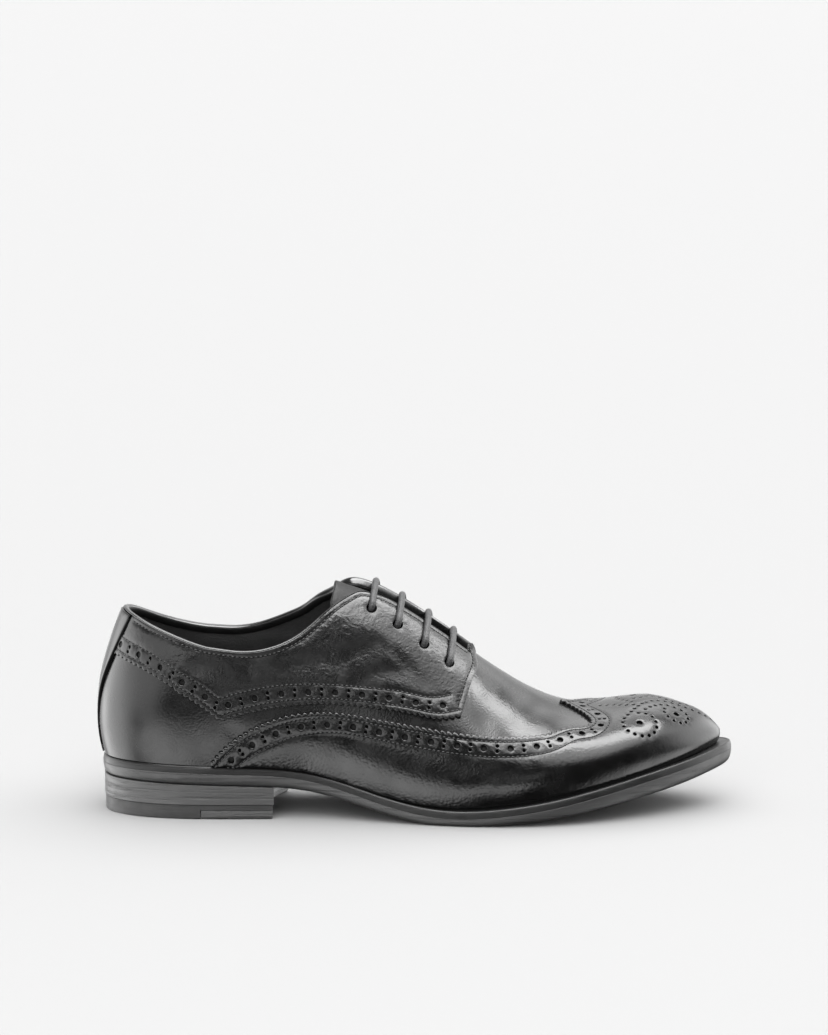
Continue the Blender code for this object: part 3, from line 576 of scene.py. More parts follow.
def per_mm(size):
    """Texture scale for a pattern that repeats every so many millimetres."""
    return 1 / (size * MM)


print("grain of 1 mm has a scale of %.0f" % per_mm(1))

# %% [markdown]
# The camera stands two metres off, 11.5 degrees above the middle of the shoe, square to its lateral
# side. A long lens from that far keeps the shoe's proportions; its focal length is given in pixels
# of an 828 by 1035 frame, and Blender wants it for a 36 mm sensor along the longer side.

# %% Camera
FRAME_HEIGHT_PX = 1035
FOCAL_PX = 4160
SENSOR_MM = 36.0
CAMERA_MM = (149.5, -1959.8, 453.7)
CAMERA_DIP = 9.09
CLIP_END_M = 200.0


def make_camera():
    lens = bpy.data.cameras.new("studio_camera")
    lens.sensor_width = SENSOR_MM
    lens.lens = FOCAL_PX / FRAME_HEIGHT_PX * SENSOR_MM
    lens.clip_end = CLIP_END_M
    camera = placed("studio_camera", lens)
    camera.location = metres([CAMERA_MM])[0]
    camera.rotation_euler = (math.radians(90 - CAMERA_DIP), 0, 0)
    bpy.context.scene.camera = camera
    print("lens: %.1f mm" % lens.lens)


make_camera()

# %% [markdown]
# Calf leather, drum dyed black, waxed and brushed. What the eye gets: a very dark body, a polished
# surface that mirrors the lights softly, fine grain cells about a millimetre wide, and small folds
# where the hide was slack. The toe and the counter are pulled tight, so grain and folds fade there.
# Grain is a Voronoi pattern, folds are a noise that is a little longer along the shoe, and both only
# tilt the surface by bump. Real pores are finer than a pixel, so they are drawn half a millimetre wide.

# %% Leather
CALF_BLACK = "020202"
CALF_WORN = "040404"
PORE_MM = 0.5
PORE_DEPTH = 0.015
DRIFT_MM = 9.0
CELL_BEND = 0.0022
WRINKLE_MM = 2.0
WRINKLE_LEAN = -18
WRINKLE_STRETCH = (0.75, 1.0, 1.0)
PATCH_MM = 26.0
TIGHT = {"toe": ((226, 1.0), (250, 0.4)), "heel": ((20, 0.35), (52, 1.0))}


def leather(name, cell, grain, wrinkles, rough, index=1.4):
    made, tree, shader = material(name)
    place = add(tree, "ShaderNodeTexCoord").outputs["Object"]
    along = add(tree, "ShaderNodeSeparateXYZ", {0: place}).outputs["X"]
    ends = []
    for (x0, from_value), (x1, to_value) in TIGHT.values():
        reach = {0: along, 1: (x0 - BOX_CENTRE[0]) * MM, 2: (x1 - BOX_CENTRE[0]) * MM,
                 3: from_value, 4: to_value}
        ends.append(add(tree, "ShaderNodeMapRange", reach, interpolation_type="SMOOTHSTEP").outputs[0])
    slack = add(tree, "ShaderNodeMath", {0: ends[0], 1: ends[1]}, operation="MULTIPLY").outputs[0]
    drift = add(tree, "ShaderNodeTexNoise", {"Vector": place, "Scale": per_mm(DRIFT_MM), "Detail": 3.0})
    bent = add(tree, "ShaderNodeMix", {0: CELL_BEND, 4: place, 5: drift.outputs["Color"]},
               data_type="VECTOR").outputs[1]
    cells = add(tree, "ShaderNodeTexVoronoi", {"Vector": bent, "Scale": per_mm(cell)},
                feature="SMOOTH_F1").outputs["Distance"]
    pores = add(tree, "ShaderNodeTexNoise", {"Vector": place, "Scale": per_mm(PORE_MM), "Detail": 3.0})
    stretch = add(tree, "ShaderNodeMapping", {"Vector": place, "Rotation": (0, math.radians(WRINKLE_LEAN), 0),
                                              "Scale": WRINKLE_STRETCH}).outputs[0]
    folds = add(tree, "ShaderNodeTexNoise", {"Vector": stretch, "Scale": per_mm(WRINKLE_MM), "Detail": 3.0,
                                             "Roughness": 0.5, "Distortion": 0.4}).outputs["Fac"]
    patch = add(tree, "ShaderNodeTexNoise", {"Vector": place, "Scale": per_mm(PATCH_MM), "Detail": 2.0})
    loose = add(tree, "ShaderNodeMapRange", {0: patch.outputs["Fac"], 1: 0.38, 2: 0.56, 3: 0.25,
                                             4: 1.0}).outputs[0]
    for share in (slack, folds):
        loose = add(tree, "ShaderNodeMath", {0: share, 1: loose}, operation="MULTIPLY").outputs[0]
    cells = add(tree, "ShaderNodeMath", {0: cells, 1: slack}, operation="MULTIPLY").outputs[0]
    relief = add(tree, "ShaderNodeBump", {"Strength": 1.0, "Distance": wrinkles * MM, "Height": loose})
    relief = add(tree, "ShaderNodeBump", {"Strength": 1.0, "Distance": grain * MM, "Height": cells,
                                          "Normal": relief.outputs[0]}, invert=True)
    relief = add(tree, "ShaderNodeBump", {"Strength": 1.0, "Distance": PORE_DEPTH * MM,
                                          "Height": pores.outputs["Fac"], "Normal": relief.outputs[0]})
    tone = add(tree, "ShaderNodeMix", {0: drift.outputs["Fac"], 6: srgb(CALF_BLACK), 7: srgb(CALF_WORN)},
               data_type="RGBA").outputs[2]
    gloss = add(tree, "ShaderNodeMapRange", {0: drift.outputs["Fac"], 1: 0.3, 2: 0.7, 3: rough - 0.05,
                                             4: rough + 0.07}).outputs[0]
    connect(tree, shader, {"Base Color": tone, "Roughness": gloss, "Normal": relief.outputs[0],
                           "IOR": index})
    return made


vamp_calf = leather("vamp_waxed_calf", 0.9, 0.06, 0.07, 0.24)
wing_calf = leather("wing_waxed_calf", 1.2, 0.075, 0.07, 0.23)
quarter_calf = leather("quarter_waxed_calf", 1.1, 0.06, 0.26, 0.26)
strip_calf = leather("strip_waxed_calf", 1.0, 0.04, 0.08, 0.24)
edge_calf = leather("edge_polished_calf", 1.0, 0.02, 0.02, 0.22, 1.5)
tongue_calf = leather("tongue_soft_calf", 1.2, 0.12, 0.2, 0.5, 1.26)
print("leathers: 6")

# %% [markdown]
# Lining leather is thinner, dyed through and left without wax: the same darkness with hardly any
# shine. The insole has the same surface, so one recipe serves both.

# %% Lining
LINING_BLACK = "080808"
LINING_GREY = "101010"
LINING_CLOUD_MM = 7.0
LINING_CELL_MM = 0.9
LINING_DEPTH = 0.12


def lining(name):
    made, tree, shader = material(name)
    place = add(tree, "ShaderNodeTexCoord").outputs["Object"]
    cloud = add(tree, "ShaderNodeTexNoise", {"Vector": place, "Scale": per_mm(LINING_CLOUD_MM),
                                             "Detail": 5.0})
    cells = add(tree, "ShaderNodeTexVoronoi", {"Vector": place, "Scale": per_mm(LINING_CELL_MM)})
    tone = add(tree, "ShaderNodeMix", {0: cloud.outputs["Fac"], 6: srgb(LINING_BLACK), 7: srgb(LINING_GREY)},
               data_type="RGBA").outputs[2]
    relief = add(tree, "ShaderNodeBump", {"Strength": 0.8, "Distance": LINING_DEPTH * MM,
                                          "Height": cells.outputs["Distance"]})
    connect(tree, shader, {"Base Color": tone, "Normal": relief.outputs[0], "Roughness": 0.62})
    return made


lining_hide = lining("lining_unwaxed_hide")
insole_hide = lining("insole_unwaxed_hide")
print("linings: 2")

# %% [markdown]
# The sole and the heel are bark-tanned leather, pressed, sanded and burnished with black ink. Their
# edges show the sheets that they are built from, as fine lines along the sole, with scratches left
# by the sanding wheel. A noise that is stretched twenty to thirty times along the shoe draws both. The
# moulded rubber under the heel shows the same lines of the wheel, shallower and duller.

# %% Burnished edges and rubber
WELT_BLACK = "050505"
WELT_GREY = "0d0d0d"
EDGE_BLACK = "0a0a0a"
STACK_BLACK = "0c0c0c"
STACK_GREY = "1d1d1d"
RUBBER_BLACK = "0b0b0b"
RUBBER_GREY = "131313"
LINE_STRETCH = (0.035, 0.035, 1.0)
SCRATCH_STRETCH = (0.05, 0.05, 1.0)
SCRATCH_LEAN = 0.06
EDGE_CLOUD_MM = 6.0


def pressed_edge(name, dark, light, line_mm, depth, rough, shine):
    made, tree, shader = material(name)
    place = add(tree, "ShaderNodeTexCoord").outputs["Object"]
    lay = add(tree, "ShaderNodeMapping", {"Vector": place, "Scale": LINE_STRETCH}).outputs[0]
    lines = add(tree, "ShaderNodeTexNoise", {"Vector": lay, "Scale": per_mm(line_mm), "Detail": 6.0,
                                             "Roughness": 0.7, "Distortion": 0.25}).outputs["Fac"]
    cloud = add(tree, "ShaderNodeTexNoise", {"Vector": place, "Scale": per_mm(EDGE_CLOUD_MM), "Detail": 4.0})
    scratch_lay = add(tree, "ShaderNodeMapping", {"Vector": place, "Rotation": (0, SCRATCH_LEAN, 0),
                                                  "Scale": SCRATCH_STRETCH}).outputs[0]
    scratches = add(tree, "ShaderNodeTexNoise", {"Vector": scratch_lay, "Scale": per_mm(line_mm / 3),
                                                 "Detail": 2.0}).outputs["Fac"]
    deep = add(tree, "ShaderNodeMapRange", {0: lines, 1: 0.36, 2: 0.5, 3: 0.0, 4: 1.0}).outputs[0]
    tone = add(tree, "ShaderNodeMix", {0: deep, 6: srgb(dark), 7: srgb(light)}, data_type="RGBA").outputs[2]
    relief = add(tree, "ShaderNodeBump", {"Strength": 1.0, "Distance": depth * MM, "Height": deep})
    relief = add(tree, "ShaderNodeBump", {"Strength": 0.7, "Distance": 0.4 * depth * MM, "Height": scratches,
                                          "Normal": relief.outputs[0]})
    gloss = add(tree, "ShaderNodeMapRange", {0: cloud.outputs["Fac"], 1: 0.3, 2: 0.7, 3: rough - 0.06,
                                             4: rough + 0.08}).outputs[0]
    connect(tree, shader, {"Base Color": tone, "Roughness": gloss, "Normal": relief.outputs[0],
                           "Specular IOR Level": shine})
    return made


welt_edge = pressed_edge("welt_burnished_leather", WELT_BLACK, WELT_GREY, 1.6, 0.04, 0.34, 0.25)
sole_edge = pressed_edge("sole_burnished_leather", EDGE_BLACK, STACK_GREY, 1.4, 0.07, 0.42, 0.4)
stack_edge = pressed_edge("heel_stacked_leather", STACK_BLACK, STACK_GREY, 2.2, 0.22, 0.45, 0.5)
heel_rubber = pressed_edge("heel_moulded_rubber", RUBBER_BLACK, RUBBER_GREY, 1.2, 0.05, 0.6, 0.4)
print("edges and rubber: 4")

# %% [markdown]
# The lace is a round braid of waxed cotton. Two families of threads cross as they wind round the
# cord; a wave along each family, multiplied, gives the small diamonds of the braid. They follow the
# cord's own coordinates: millimetres along it and turns round it. The wax fills most of the braid and
# mottles its tone, so a noise draws the colour. Sewing thread is bonded nylon. Along raw cuts the
# leather is inked but not waxed: it hardly shines at all. The same dull dark finish is put into needle
# holes and small punched holes as painted shade.

# %% Lace cord and thread
CORD_BLACK = "101010"
CORD_GREY = "1e1e1f"
BRAID_MM = 1.6
BRAID_DEPTH = 0.07
THREADS_ROUND = 6
FUZZ_MM = 1.1
FUZZ_DEPTH = 0.5
WAX_IOR = 1.35


def cord_finish():
    made, tree, shader = material("waxed_cotton_braid")
    around = add(tree, "ShaderNodeUVMap", uv_map="cord").outputs[0]
    split = add(tree, "ShaderNodeSeparateXYZ", {0: around})
    lay, turn = [add(tree, "ShaderNodeMath", {0: split.outputs[axis], 1: 2 * math.pi * often},
                     operation="MULTIPLY") for axis, often in (("X", 1 / BRAID_MM), ("Y", THREADS_ROUND))]
    families = []
    for how in ("ADD", "SUBTRACT"):
        phase = add(tree, "ShaderNodeMath", {0: lay.outputs[0], 1: turn.outputs[0]}, operation=how)
        families.append(add(tree, "ShaderNodeMath", {0: phase.outputs[0]}, operation="SINE").outputs[0])
    braid = add(tree, "ShaderNodeMath", {0: families[0], 1: families[1]}, operation="MULTIPLY").outputs[0]
    shade = add(tree, "ShaderNodeMapRange", {0: braid, 1: -1.0, 2: 1.0, 3: 0.0, 4: 1.0}).outputs[0]
    place = add(tree, "ShaderNodeTexCoord").outputs["Object"]
    fuzz = add(tree, "ShaderNodeTexNoise", {"Vector": place, "Scale": per_mm(FUZZ_MM), "Detail": 4.0})
    tone = add(tree, "ShaderNodeMix", {0: fuzz.outputs["Fac"], 6: srgb(CORD_BLACK), 7: srgb(CORD_GREY)},
               data_type="RGBA").outputs[2]
    relief = add(tree, "ShaderNodeBump", {"Strength": 1.0, "Distance": BRAID_DEPTH * MM, "Height": shade})
    relief = add(tree, "ShaderNodeBump", {"Strength": 1.0, "Distance": FUZZ_DEPTH * MM,
                                          "Height": fuzz.outputs["Fac"], "Normal": relief.outputs[0]})
    connect(tree, shader, {"Base Color": tone, "Normal": relief.outputs[0], "Roughness": 0.5,
                           "IOR": WAX_IOR})
    return made


def fibres(name, fibre_mm, dark, light, surface):
    """A finish of fine fibres in two tones, with the shader's own values for its surface."""
    made, tree, shader = material(name)
    place = add(tree, "ShaderNodeTexCoord").outputs["Object"]
    twist = add(tree, "ShaderNodeTexNoise", {"Vector": place, "Scale": per_mm(fibre_mm), "Detail": 2.0})
    tone = add(tree, "ShaderNodeMix", {0: twist.outputs["Fac"], 6: srgb(dark), 7: srgb(light)},
               data_type="RGBA").outputs[2]
    connect(tree, shader, {"Base Color": tone, **surface})
    return made


cord_braid = cord_finish()
nylon_thread = fibres("bonded_nylon_thread", 0.3, "070707", "101010", {"Roughness": 0.42, "IOR": WAX_IOR})
# Dull dark leather: the inked raw edge of the back strip, and painted shade in needle holes and small punched
# holes.
inked_edge_and_painted_hole_shade = fibres("inked_edge_and_painted_hole_shade_finish", 0.2, "030303", "070707",
                     {"Roughness": 0.9, "Specular IOR Level": 0.1})
print("cord, thread and raw leather: 3")

# %% [markdown]
# The upper is one hollow wall: a grid of ribs over the last, open at the collar and underneath. The
# Solidify modifier gives it the wall's thickness and puts the lining on its inner faces. The eyelets
# go right through, so eight punches are cut out of it.

# %% Upper wall with its lining
RIB_PITCH = 2.4
HEEL_FAN = 64
TOE_FAN = 88
WALL_ROWS = 46
THROAT_STEP = 0.6
CLOSED_T = 0.995
BELOW_EDGE_T = 0.006
PUNCH_DEPTH = 16.0
PUNCH_SIDES = 24
SHARP_DEGREES = 50


def wall_ribs():
    """Ribs of the upper: a fan at the heel, matching stations on both sides, a fan at the toe."""
    stations = np.linspace(HEEL_POLE, TOE_POLE, round((TOE_POLE - HEEL_POLE) / RIB_PITCH) + 1)
    stations = np.unique(np.concatenate([stations, [THROAT_END - THROAT_STEP, THROAT_END + THROAT_STEP]]))
    lateral = PATTERN.rib_at("lateral", stations)
    medial = PATTERN.rib_at("medial", stations)
    heel = np.linspace(medial[0] - 1, lateral[0], HEEL_FAN + 1)[1:-1]
    toe = np.linspace(lateral[-1], medial[-1], TOE_FAN + 1)[1:-1]
    return np.concatenate([heel, lateral, toe, medial[::-1]])


def eyelet_places(name):
    return off_ridge(EYELETS, SIGN[name]) + np.array([EYELET_LEAN if name == "medial" else 0.0, 0.0])


def punch_out(item):
    """Cuts the eyelets out of a piece and keeps only the result."""
    shape = bmesh.new()
    for name in SIGN:
        s, t = PATTERN.lay(eyelet_places(name))
        for middle, way in zip(metres(on_last(s, t)), outward(s, t)):
            turn = Vector((0, 0, 1)).rotation_difference(Vector(way)).to_matrix().to_4x4()
            turn.translation = Vector(middle)
            bmesh.ops.create_cone(shape, cap_ends=True, segments=PUNCH_SIDES, radius1=EYELET / 2 * MM,
                                  radius2=EYELET / 2 * MM, depth=PUNCH_DEPTH * MM, matrix=turn)
    mesh = bpy.data.meshes.new("punches")
    shape.to_mesh(mesh)
    shape.free()
    punches = placed("punches", mesh)
    knife = item.modifiers.new("eyelets", "BOOLEAN")
    knife.operation = "DIFFERENCE"
    knife.object = punches
    done = item.evaluated_get(bpy.context.evaluated_depsgraph_get())
    item_mesh = bpy.data.meshes.new_from_object(done)
    item.modifiers.clear()
    item.data = item_mesh
    bpy.data.objects.remove(punches, do_unlink=True)


def make_upper():
    ribs = wall_ribs()
    rows = np.linspace(0, 1, WALL_ROWS)
    top = opening(ribs)
    limit = np.where(top > CLOSED_T, 1.0, top - BELOW_EDGE_T)
    t = limit[:, None] * rows[None, :]
    s = np.broadcast_to(ribs[:, None], t.shape)
    flat = PATTERN.flat(s.ravel(), t.ravel())
    points = on_last(s, t).reshape(-1, 3)
    points += outward(s, t).reshape(-1, 3) * wrinkle(flat)[:, None]
    faces = []
    for i in range(len(ribs)):
        j = (i + 1) % len(ribs)
        for k in range(WALL_ROWS - 1):
            here, there = i * WALL_ROWS + k, j * WALL_ROWS + k
            faces.append((here, there, there + 1, here + 1))
    item = mesh_object("upper_wall", points, faces, [vamp_calf, lining_hide])
    shell = item.modifiers.new("wall", "SOLIDIFY")
    shell.thickness = WALL * MM
    shell.offset = -1
    shell.use_even_offset = True
    shell.use_quality_normals = True
    shell.material_offset = 1
    shell.material_offset_rim = 1
    punch_out(item)
    item.data.shade_smooth()
    item.data.set_sharp_from_angle(angle=math.radians(SHARP_DEGREES))
    dress(item, "vamp_leather", "upper")


make_upper()

# %% [markdown]
# The overlays are cut like real leather. A piece has a border, perhaps pinked into small teeth, holes
# punched through it, and seams pressed into it. We triangulate its flat shape with a constrained
# Delaunay mesh, lay it on the last at its thickness, roll every cut edge over with a small radius so
# that it catches the light, and close it underneath. First come the paths: smooth curves on the flat
# pattern, divided by their true length on the shoe.

# %% Paths on the flat pattern
BESIDE_EASE = 0.12


def smooth_path(points, pitch=0.5):
    """Points at an even pitch along a smooth curve through a few flat points."""
    points = np.asarray(points, float)
    run = run_along(points)
    curves = [through(run, values) for values in points.T]
    place = np.linspace(0, run[-1], max(2, round(run[-1] / pitch) + 1))
    return np.stack([curve(place) for curve in curves], -1)


def true_run(path):
    """Distance along a flat path, measured on the last."""
    return run_along(skin(path, np.zeros(len(path))))


def spread(path, count, start=0.0, end=0.0):
    """A number of flat points at even true distances along a path, clear of its ends."""
    run = true_run(path)
    place = np.linspace(start, run[-1] - end, count)
    return np.stack([np.interp(place, run, values) for values in path.T], -1)


def even(path, pitch):
    """Flat points along a path at a true distance as near as can be to the pitch."""
    return spread(path, max(2, round(true_run(path)[-1] / pitch) + 1))


def left_of(path):
    """Unit normals on the left of a path."""
    return unit(left(np.gradient(path, axis=0)))


def near_points(points):
    tree = KDTree(len(points))
    for i, (x, y) in enumerate(points):
        tree.insert((x, y, 0.0), i)
    tree.balance()
    return tree


def away_from(others, points):
    """How far each flat point lies from the nearest of the others."""
    tree = near_points(others)
    return np.array([tree.find((x, y, 0.0))[2] for x, y in points])


def beside(path, by):
    """A path moved to its left, with what would come nearer than that to the path cut away."""
    moved = path + left_of(path) * by
    return moved[away_from(path, moved) > abs(by) - BESIDE_EASE]


lower_edge = smooth_path(PATTERN.edge("lateral", QUARTER_EDGE))
print("lower edge of the lateral quarter: %.0f mm" % true_run(lower_edge)[-1])

# %% [markdown]
# A border is a closed loop of such paths. Where an edge is pinked, a wave pushes it out into round
# teeth. A punched hole has to be round on the shoe and not on the pattern, so its loop is drawn
# against the way in which the pattern stretches there.

# %% Borders and holes
TOOTH_MM = 3.0
TOOTH_DEPTH = 1.1
TOOTH_ROLL = 0.55
TOOTH_STEPS = 8
SMALL_ROLL = 0.28
STRETCH_STEP = 0.5
STRETCH_LEAST = 0.3


def inside(points, border):
    """Which points lie inside a closed border."""
    result = np.zeros(len(points), bool)
    for (ax, ay), (bx, by) in zip(border, np.roll(border, -1, 0)):
        if ay != by:
            spans = (ay > points[:, 1]) != (by > points[:, 1])
            result ^= spans & (points[:, 0] < (bx - ax) * (points[:, 1] - ay) / (by - ay) + ax)
    return result


def border_loops(segments):
    """Cut edge and rolled edge of a border, from segments of path, toothed or not, and roll radius."""
    base, out, roll = [], [], []
    for path, toothed, radius in segments:
        if toothed:
            teeth = round(true_run(path)[-1] / TOOTH_MM)
            points = even(path, true_run(path)[-1] / (teeth * TOOTH_STEPS))
            phase = np.arange(len(points)) / TOOTH_STEPS % 1.0
            wave = TOOTH_DEPTH * (1 - np.abs(2 * phase - 1) ** 2)
        else:
            points = path
            wave = np.zeros(len(points))
        base.append(points[:-1])
        out.append(wave[:-1])
        roll.append(np.full(len(points) - 1, radius))
    base = np.vstack(base)
    out = np.concatenate(out)
    roll = np.concatenate(roll)
    after = np.roll(base, -1, 0)
    area = np.sum(base[:, 0] * after[:, 1] - after[:, 0] * base[:, 1])
    way = after - np.roll(base, 1, 0)
    inward = unit(left(way) * np.sign(area))
    edge = base - inward * out[:, None]
    return edge, edge + inward * roll[:, None], roll


def stretch_at(centres):
    """How the flat pattern is stretched when it is laid on the last, as a metric at each centre."""
    level = np.zeros(len(centres))
    sides = [(skin(centres + d, level) - skin(centres - d, level)) / (2 * STRETCH_STEP)
             for d in (np.array([STRETCH_STEP, 0]), np.array([0, STRETCH_STEP]))]
    return np.einsum("anx,bnx->nab", np.array(sides), np.array(sides))


def rings(centres, radius, count):
    """Loops that lie on the last as true circles round flat centres."""
    centres = np.asarray(centres, float)
    values, vectors = np.linalg.eigh(stretch_at(centres))
    shrink = np.einsum("nij,nj,nkj->nik", vectors, np.maximum(values, STRETCH_LEAST) ** -0.5, vectors)
    turn = np.linspace(0, 2 * math.pi, count, endpoint=False)
    circle = np.stack([np.cos(turn), np.sin(turn)], -1) * radius
    return centres[:, None, :] + np.einsum("nij,kj->nki", shrink, circle)


print("teeth every %.1f mm" % TOOTH_MM)

# %% [markdown]
# A seam is a shallow groove, because the thread pulls the leather down. The mesh needs lines of points
# along every seam to show it, and an even fill of points for the rest of the piece.

# %% Seams and fill
SEAM_DEPTH = 0.36
SEAM_HALF = 0.6
SEAM_CLEAR = 0.3
HOLE_CLEAR = 0.1
FILL_MM = 2.0
FILL_ROW = 0.87
FILL_CLEAR = 0.55


def seam_dip(flat, seams):
    """Depth of the grooves that the seams press into the leather."""
    if not seams:
        return np.zeros(len(flat))
    away = away_from(np.vstack([even(seam, 0.4) for seam in seams]), flat)
    return SEAM_DEPTH * np.exp(-(away / SEAM_HALF) ** 2)


def clear_of_holes(points, holes):
    """The points that lie outside every punched hole."""
    keep = np.ones(len(points), bool)
    for loop in holes:
        middle = loop.mean(axis=0)
        reach = np.linalg.norm(loop - middle, axis=1).max()
        keep &= np.linalg.norm(points - middle, axis=1) > reach + HOLE_CLEAR
    return points[keep]


def fill_points(border, taken):
    """An even fill inside the border, clear of the points already taken."""
    low, high = border.min(axis=0), border.max(axis=0)
    rows = np.arange(low[1], high[1], FILL_MM * FILL_ROW)
    grid = [(x + (k % 2) * FILL_MM / 2, y) for k, y in enumerate(rows)
            for x in np.arange(low[0], high[0], FILL_MM)]
    grid = np.array(grid)
    grid = grid[inside(grid, border)]
    return grid[away_from(taken, grid) > FILL_CLEAR * FILL_MM]


def seam_points(seams, border, loops):
    """Three lines of points along each seam, clear of the cut edges and of each other."""
    if not seams:
        return np.zeros((0, 2))
    lines = []
    for seam in seams:
        middle = even(seam, 1.0)
        side = left_of(middle) * SEAM_HALF * 1.1
        lines += [middle, middle + side, middle - side]
    points = np.vstack(lines)
    points = points[inside(points, border)]
    points = points[away_from(loops, points) > SEAM_CLEAR]
    taken = near_points(points)
    keep = [all(j >= i for _, j, _ in taken.find_range((x, y, 0.0), SEAM_CLEAR))
            for i, (x, y) in enumerate(points)]
    return points[np.array(keep)]


print("fill: a point every %.1f mm" % FILL_MM)

# %% [markdown]
# `cut_leather` makes the piece itself. The order of the points matters: first the loops, so that we
# know where each cut edge is, then points along the seams, then the fill. Triangles inside a punched
# hole are thrown away, and every cut edge gets a rolled shoulder and a wall down to the last.

# %% Cutting a piece of leather
UNDER = 0.05
RING_STEP = 0.42
RING_LEAST = 10


def cut_leather(name, segments, holes, seams, top, bottom, finish):
    """A closed piece of leather on the last, with rolled edges, punched holes and pressed seams."""
    loops = [border_loops(segments)]
    for centres, radius in holes:
        count = max(RING_LEAST, round(2 * math.pi * radius / RING_STEP))
        edges, rolls = rings(centres, radius, count), rings(centres, radius + SMALL_ROLL, count)
        loops += [(edge, roll, np.full(count, SMALL_ROLL)) for edge, roll in zip(edges, rolls)]
    edge = np.vstack([loop[0] for loop in loops])
    inner = np.vstack([loop[1] for loop in loops])
    radius = np.concatenate([loop[2] for loop in loops])
    owner = np.concatenate([np.full(len(loop[0]), k) for k, loop in enumerate(loops)])
    ends = np.cumsum([len(loop[0]) for loop in loops])
    following = np.arange(len(edge)) + 1
    following[ends - 1] = np.concatenate([[0], ends[:-1]])
    sewn = seam_points(seams, loops[0][1], inner)
    holes_cut = [loop[1] for loop in loops[1:]]
    sewn = clear_of_holes(sewn, holes_cut)
    fill = clear_of_holes(fill_points(loops[0][1], np.vstack([inner, sewn])), holes_cut)
    points = np.vstack([inner, sewn, fill])
    constraints = list(zip(range(len(edge)), following.tolist()))
    made = delaunay_2d_cdt([Vector(p) for p in points], constraints, [], 1, 1e-6)
    flat = np.array([tuple(v) for v in made[0]])
    place = np.zeros(len(points), int)
    belongs = np.full(len(flat), -1)
    for k, sources in enumerate(made[3]):
        for source in sources:
            place[source] = k
            if source < len(owner):
                belongs[k] = owner[source]
    triangles = [f for f in made[2] if not (belongs[f[0]] > 0 and len({belongs[i] for i in f}) == 1)]
    rim = place[:len(edge)]
    under = flat.copy()
    under[rim] = edge
    height = top(flat)
    eased = 1 - math.sqrt(0.5)
    shoulder = edge + (inner - edge) * eased
    layers = [skin(flat, height - seam_dip(flat, seams)), skin(under, np.full(len(flat), bottom)),
              skin(shoulder, height[rim] - radius * eased), skin(edge, height[rim] - radius)]
    count = len(flat)
    faces = [tuple(f) for f in triangles] + [tuple(count + i for i in f[::-1]) for f in triangles]
    for k, n in constraints:
        columns = [(place[i], 2 * count + i, 2 * count + len(edge) + i, count + place[i]) for i in (k, n)]
        faces += [(columns[0][j], columns[1][j], columns[1][j + 1], columns[0][j + 1]) for j in range(3)]
    return mesh_object(name, np.vstack(layers), faces, [finish])


print("underside: %.2f mm off the last" % UNDER)

# %% [markdown]
# Thread lies in each seam as a row of short stitches. One stitch is a bent capsule; copies are placed
# along every seam and joined into one mesh for each piece of leather. Between two stitches the needle
# left a hole; a flat lens of dull dark leather sits in it as painted shade. The same lens backs the
# punched holes: in large ones the leather below bulges a little and shines, in small ones the lens is
# dull and dark again, painted shade in the hole.

# %% Stitches
STITCH_MM = 2.2
STITCH_LENGTH = 1.6
NEEDLE_HOLE = 0.46
NEEDLE_RISE = 0.1
LENS_HALF = 0.1
LENS_SIDES = 10
LARGE_HOLE = 1.0
BACKING_BULGE = 0.2
BACKING_LAP = 0.2
BACKING = 0.15
THREAD_MM = 0.74
THREAD_RISE = 0.14
STITCH_SINK = 0.3
STITCH_SHARP = 80


def stitch_shape(stations=7, sides=7):
    """One stitch along x: round thread that dives into the leather at both ends."""
    points = []
    for f in np.linspace(-1, 1, stations):
        size = THREAD_MM / 2 * math.sqrt(max(1 - f**4, 0.04))
        sink = STITCH_SINK * f * f
        for a in np.arange(sides) * 2 * math.pi / sides:
            points.append((f * STITCH_LENGTH / 2, size * math.cos(a), size * math.sin(a) - sink))
    return np.array(points), tube_faces(stations, sides)


def lenses(name, centres, radius, height, slot, half=LENS_HALF, finish=inked_edge_and_painted_hole_shade):
    """Small lenses in the leather: painted shade in a needle's holes, or the backing seen in punched ones."""
    sides = LENS_SIDES
    count = len(centres)
    rim = skin(rings(centres, radius, sides).reshape(-1, 2), np.repeat(height, sides))
    rim = rim.reshape(count, sides, 3)
    poles = [skin(centres, height + half), skin(centres, height - LENS_HALF)]
    points = np.concatenate([rim, poles[0][:, None], poles[1][:, None]], axis=1)
    faces = []
    for start in np.arange(count) * (sides + 2):
        for k in range(sides):
            n = (k + 1) % sides
            faces += [(start + k, start + n, start + sides), (start + n, start + k, start + sides + 1)]
    item = mesh_object(name, points.reshape(-1, 3), faces, [finish], sharp=STITCH_SHARP)
    dress(item, slot)


def back_holes(name, holes, slot):
    """The leather under punched holes: it bulges and shines in large ones; in small ones it is a dull dark
    lens, painted shade.
    """
    for k, (centres, radius) in enumerate(holes):
        large = radius > LARGE_HOLE
        height = np.full(len(centres), BACKING)
        # A small hole's lens is dull dark leather, painted shade in the hole; a large one is shining leather.
        lenses("%s_backing_%d" % (name, k), centres, radius + BACKING_LAP, height, slot,
               BACKING_BULGE if large else LENS_HALF, tongue_calf if large else inked_edge_and_painted_hole_shade)


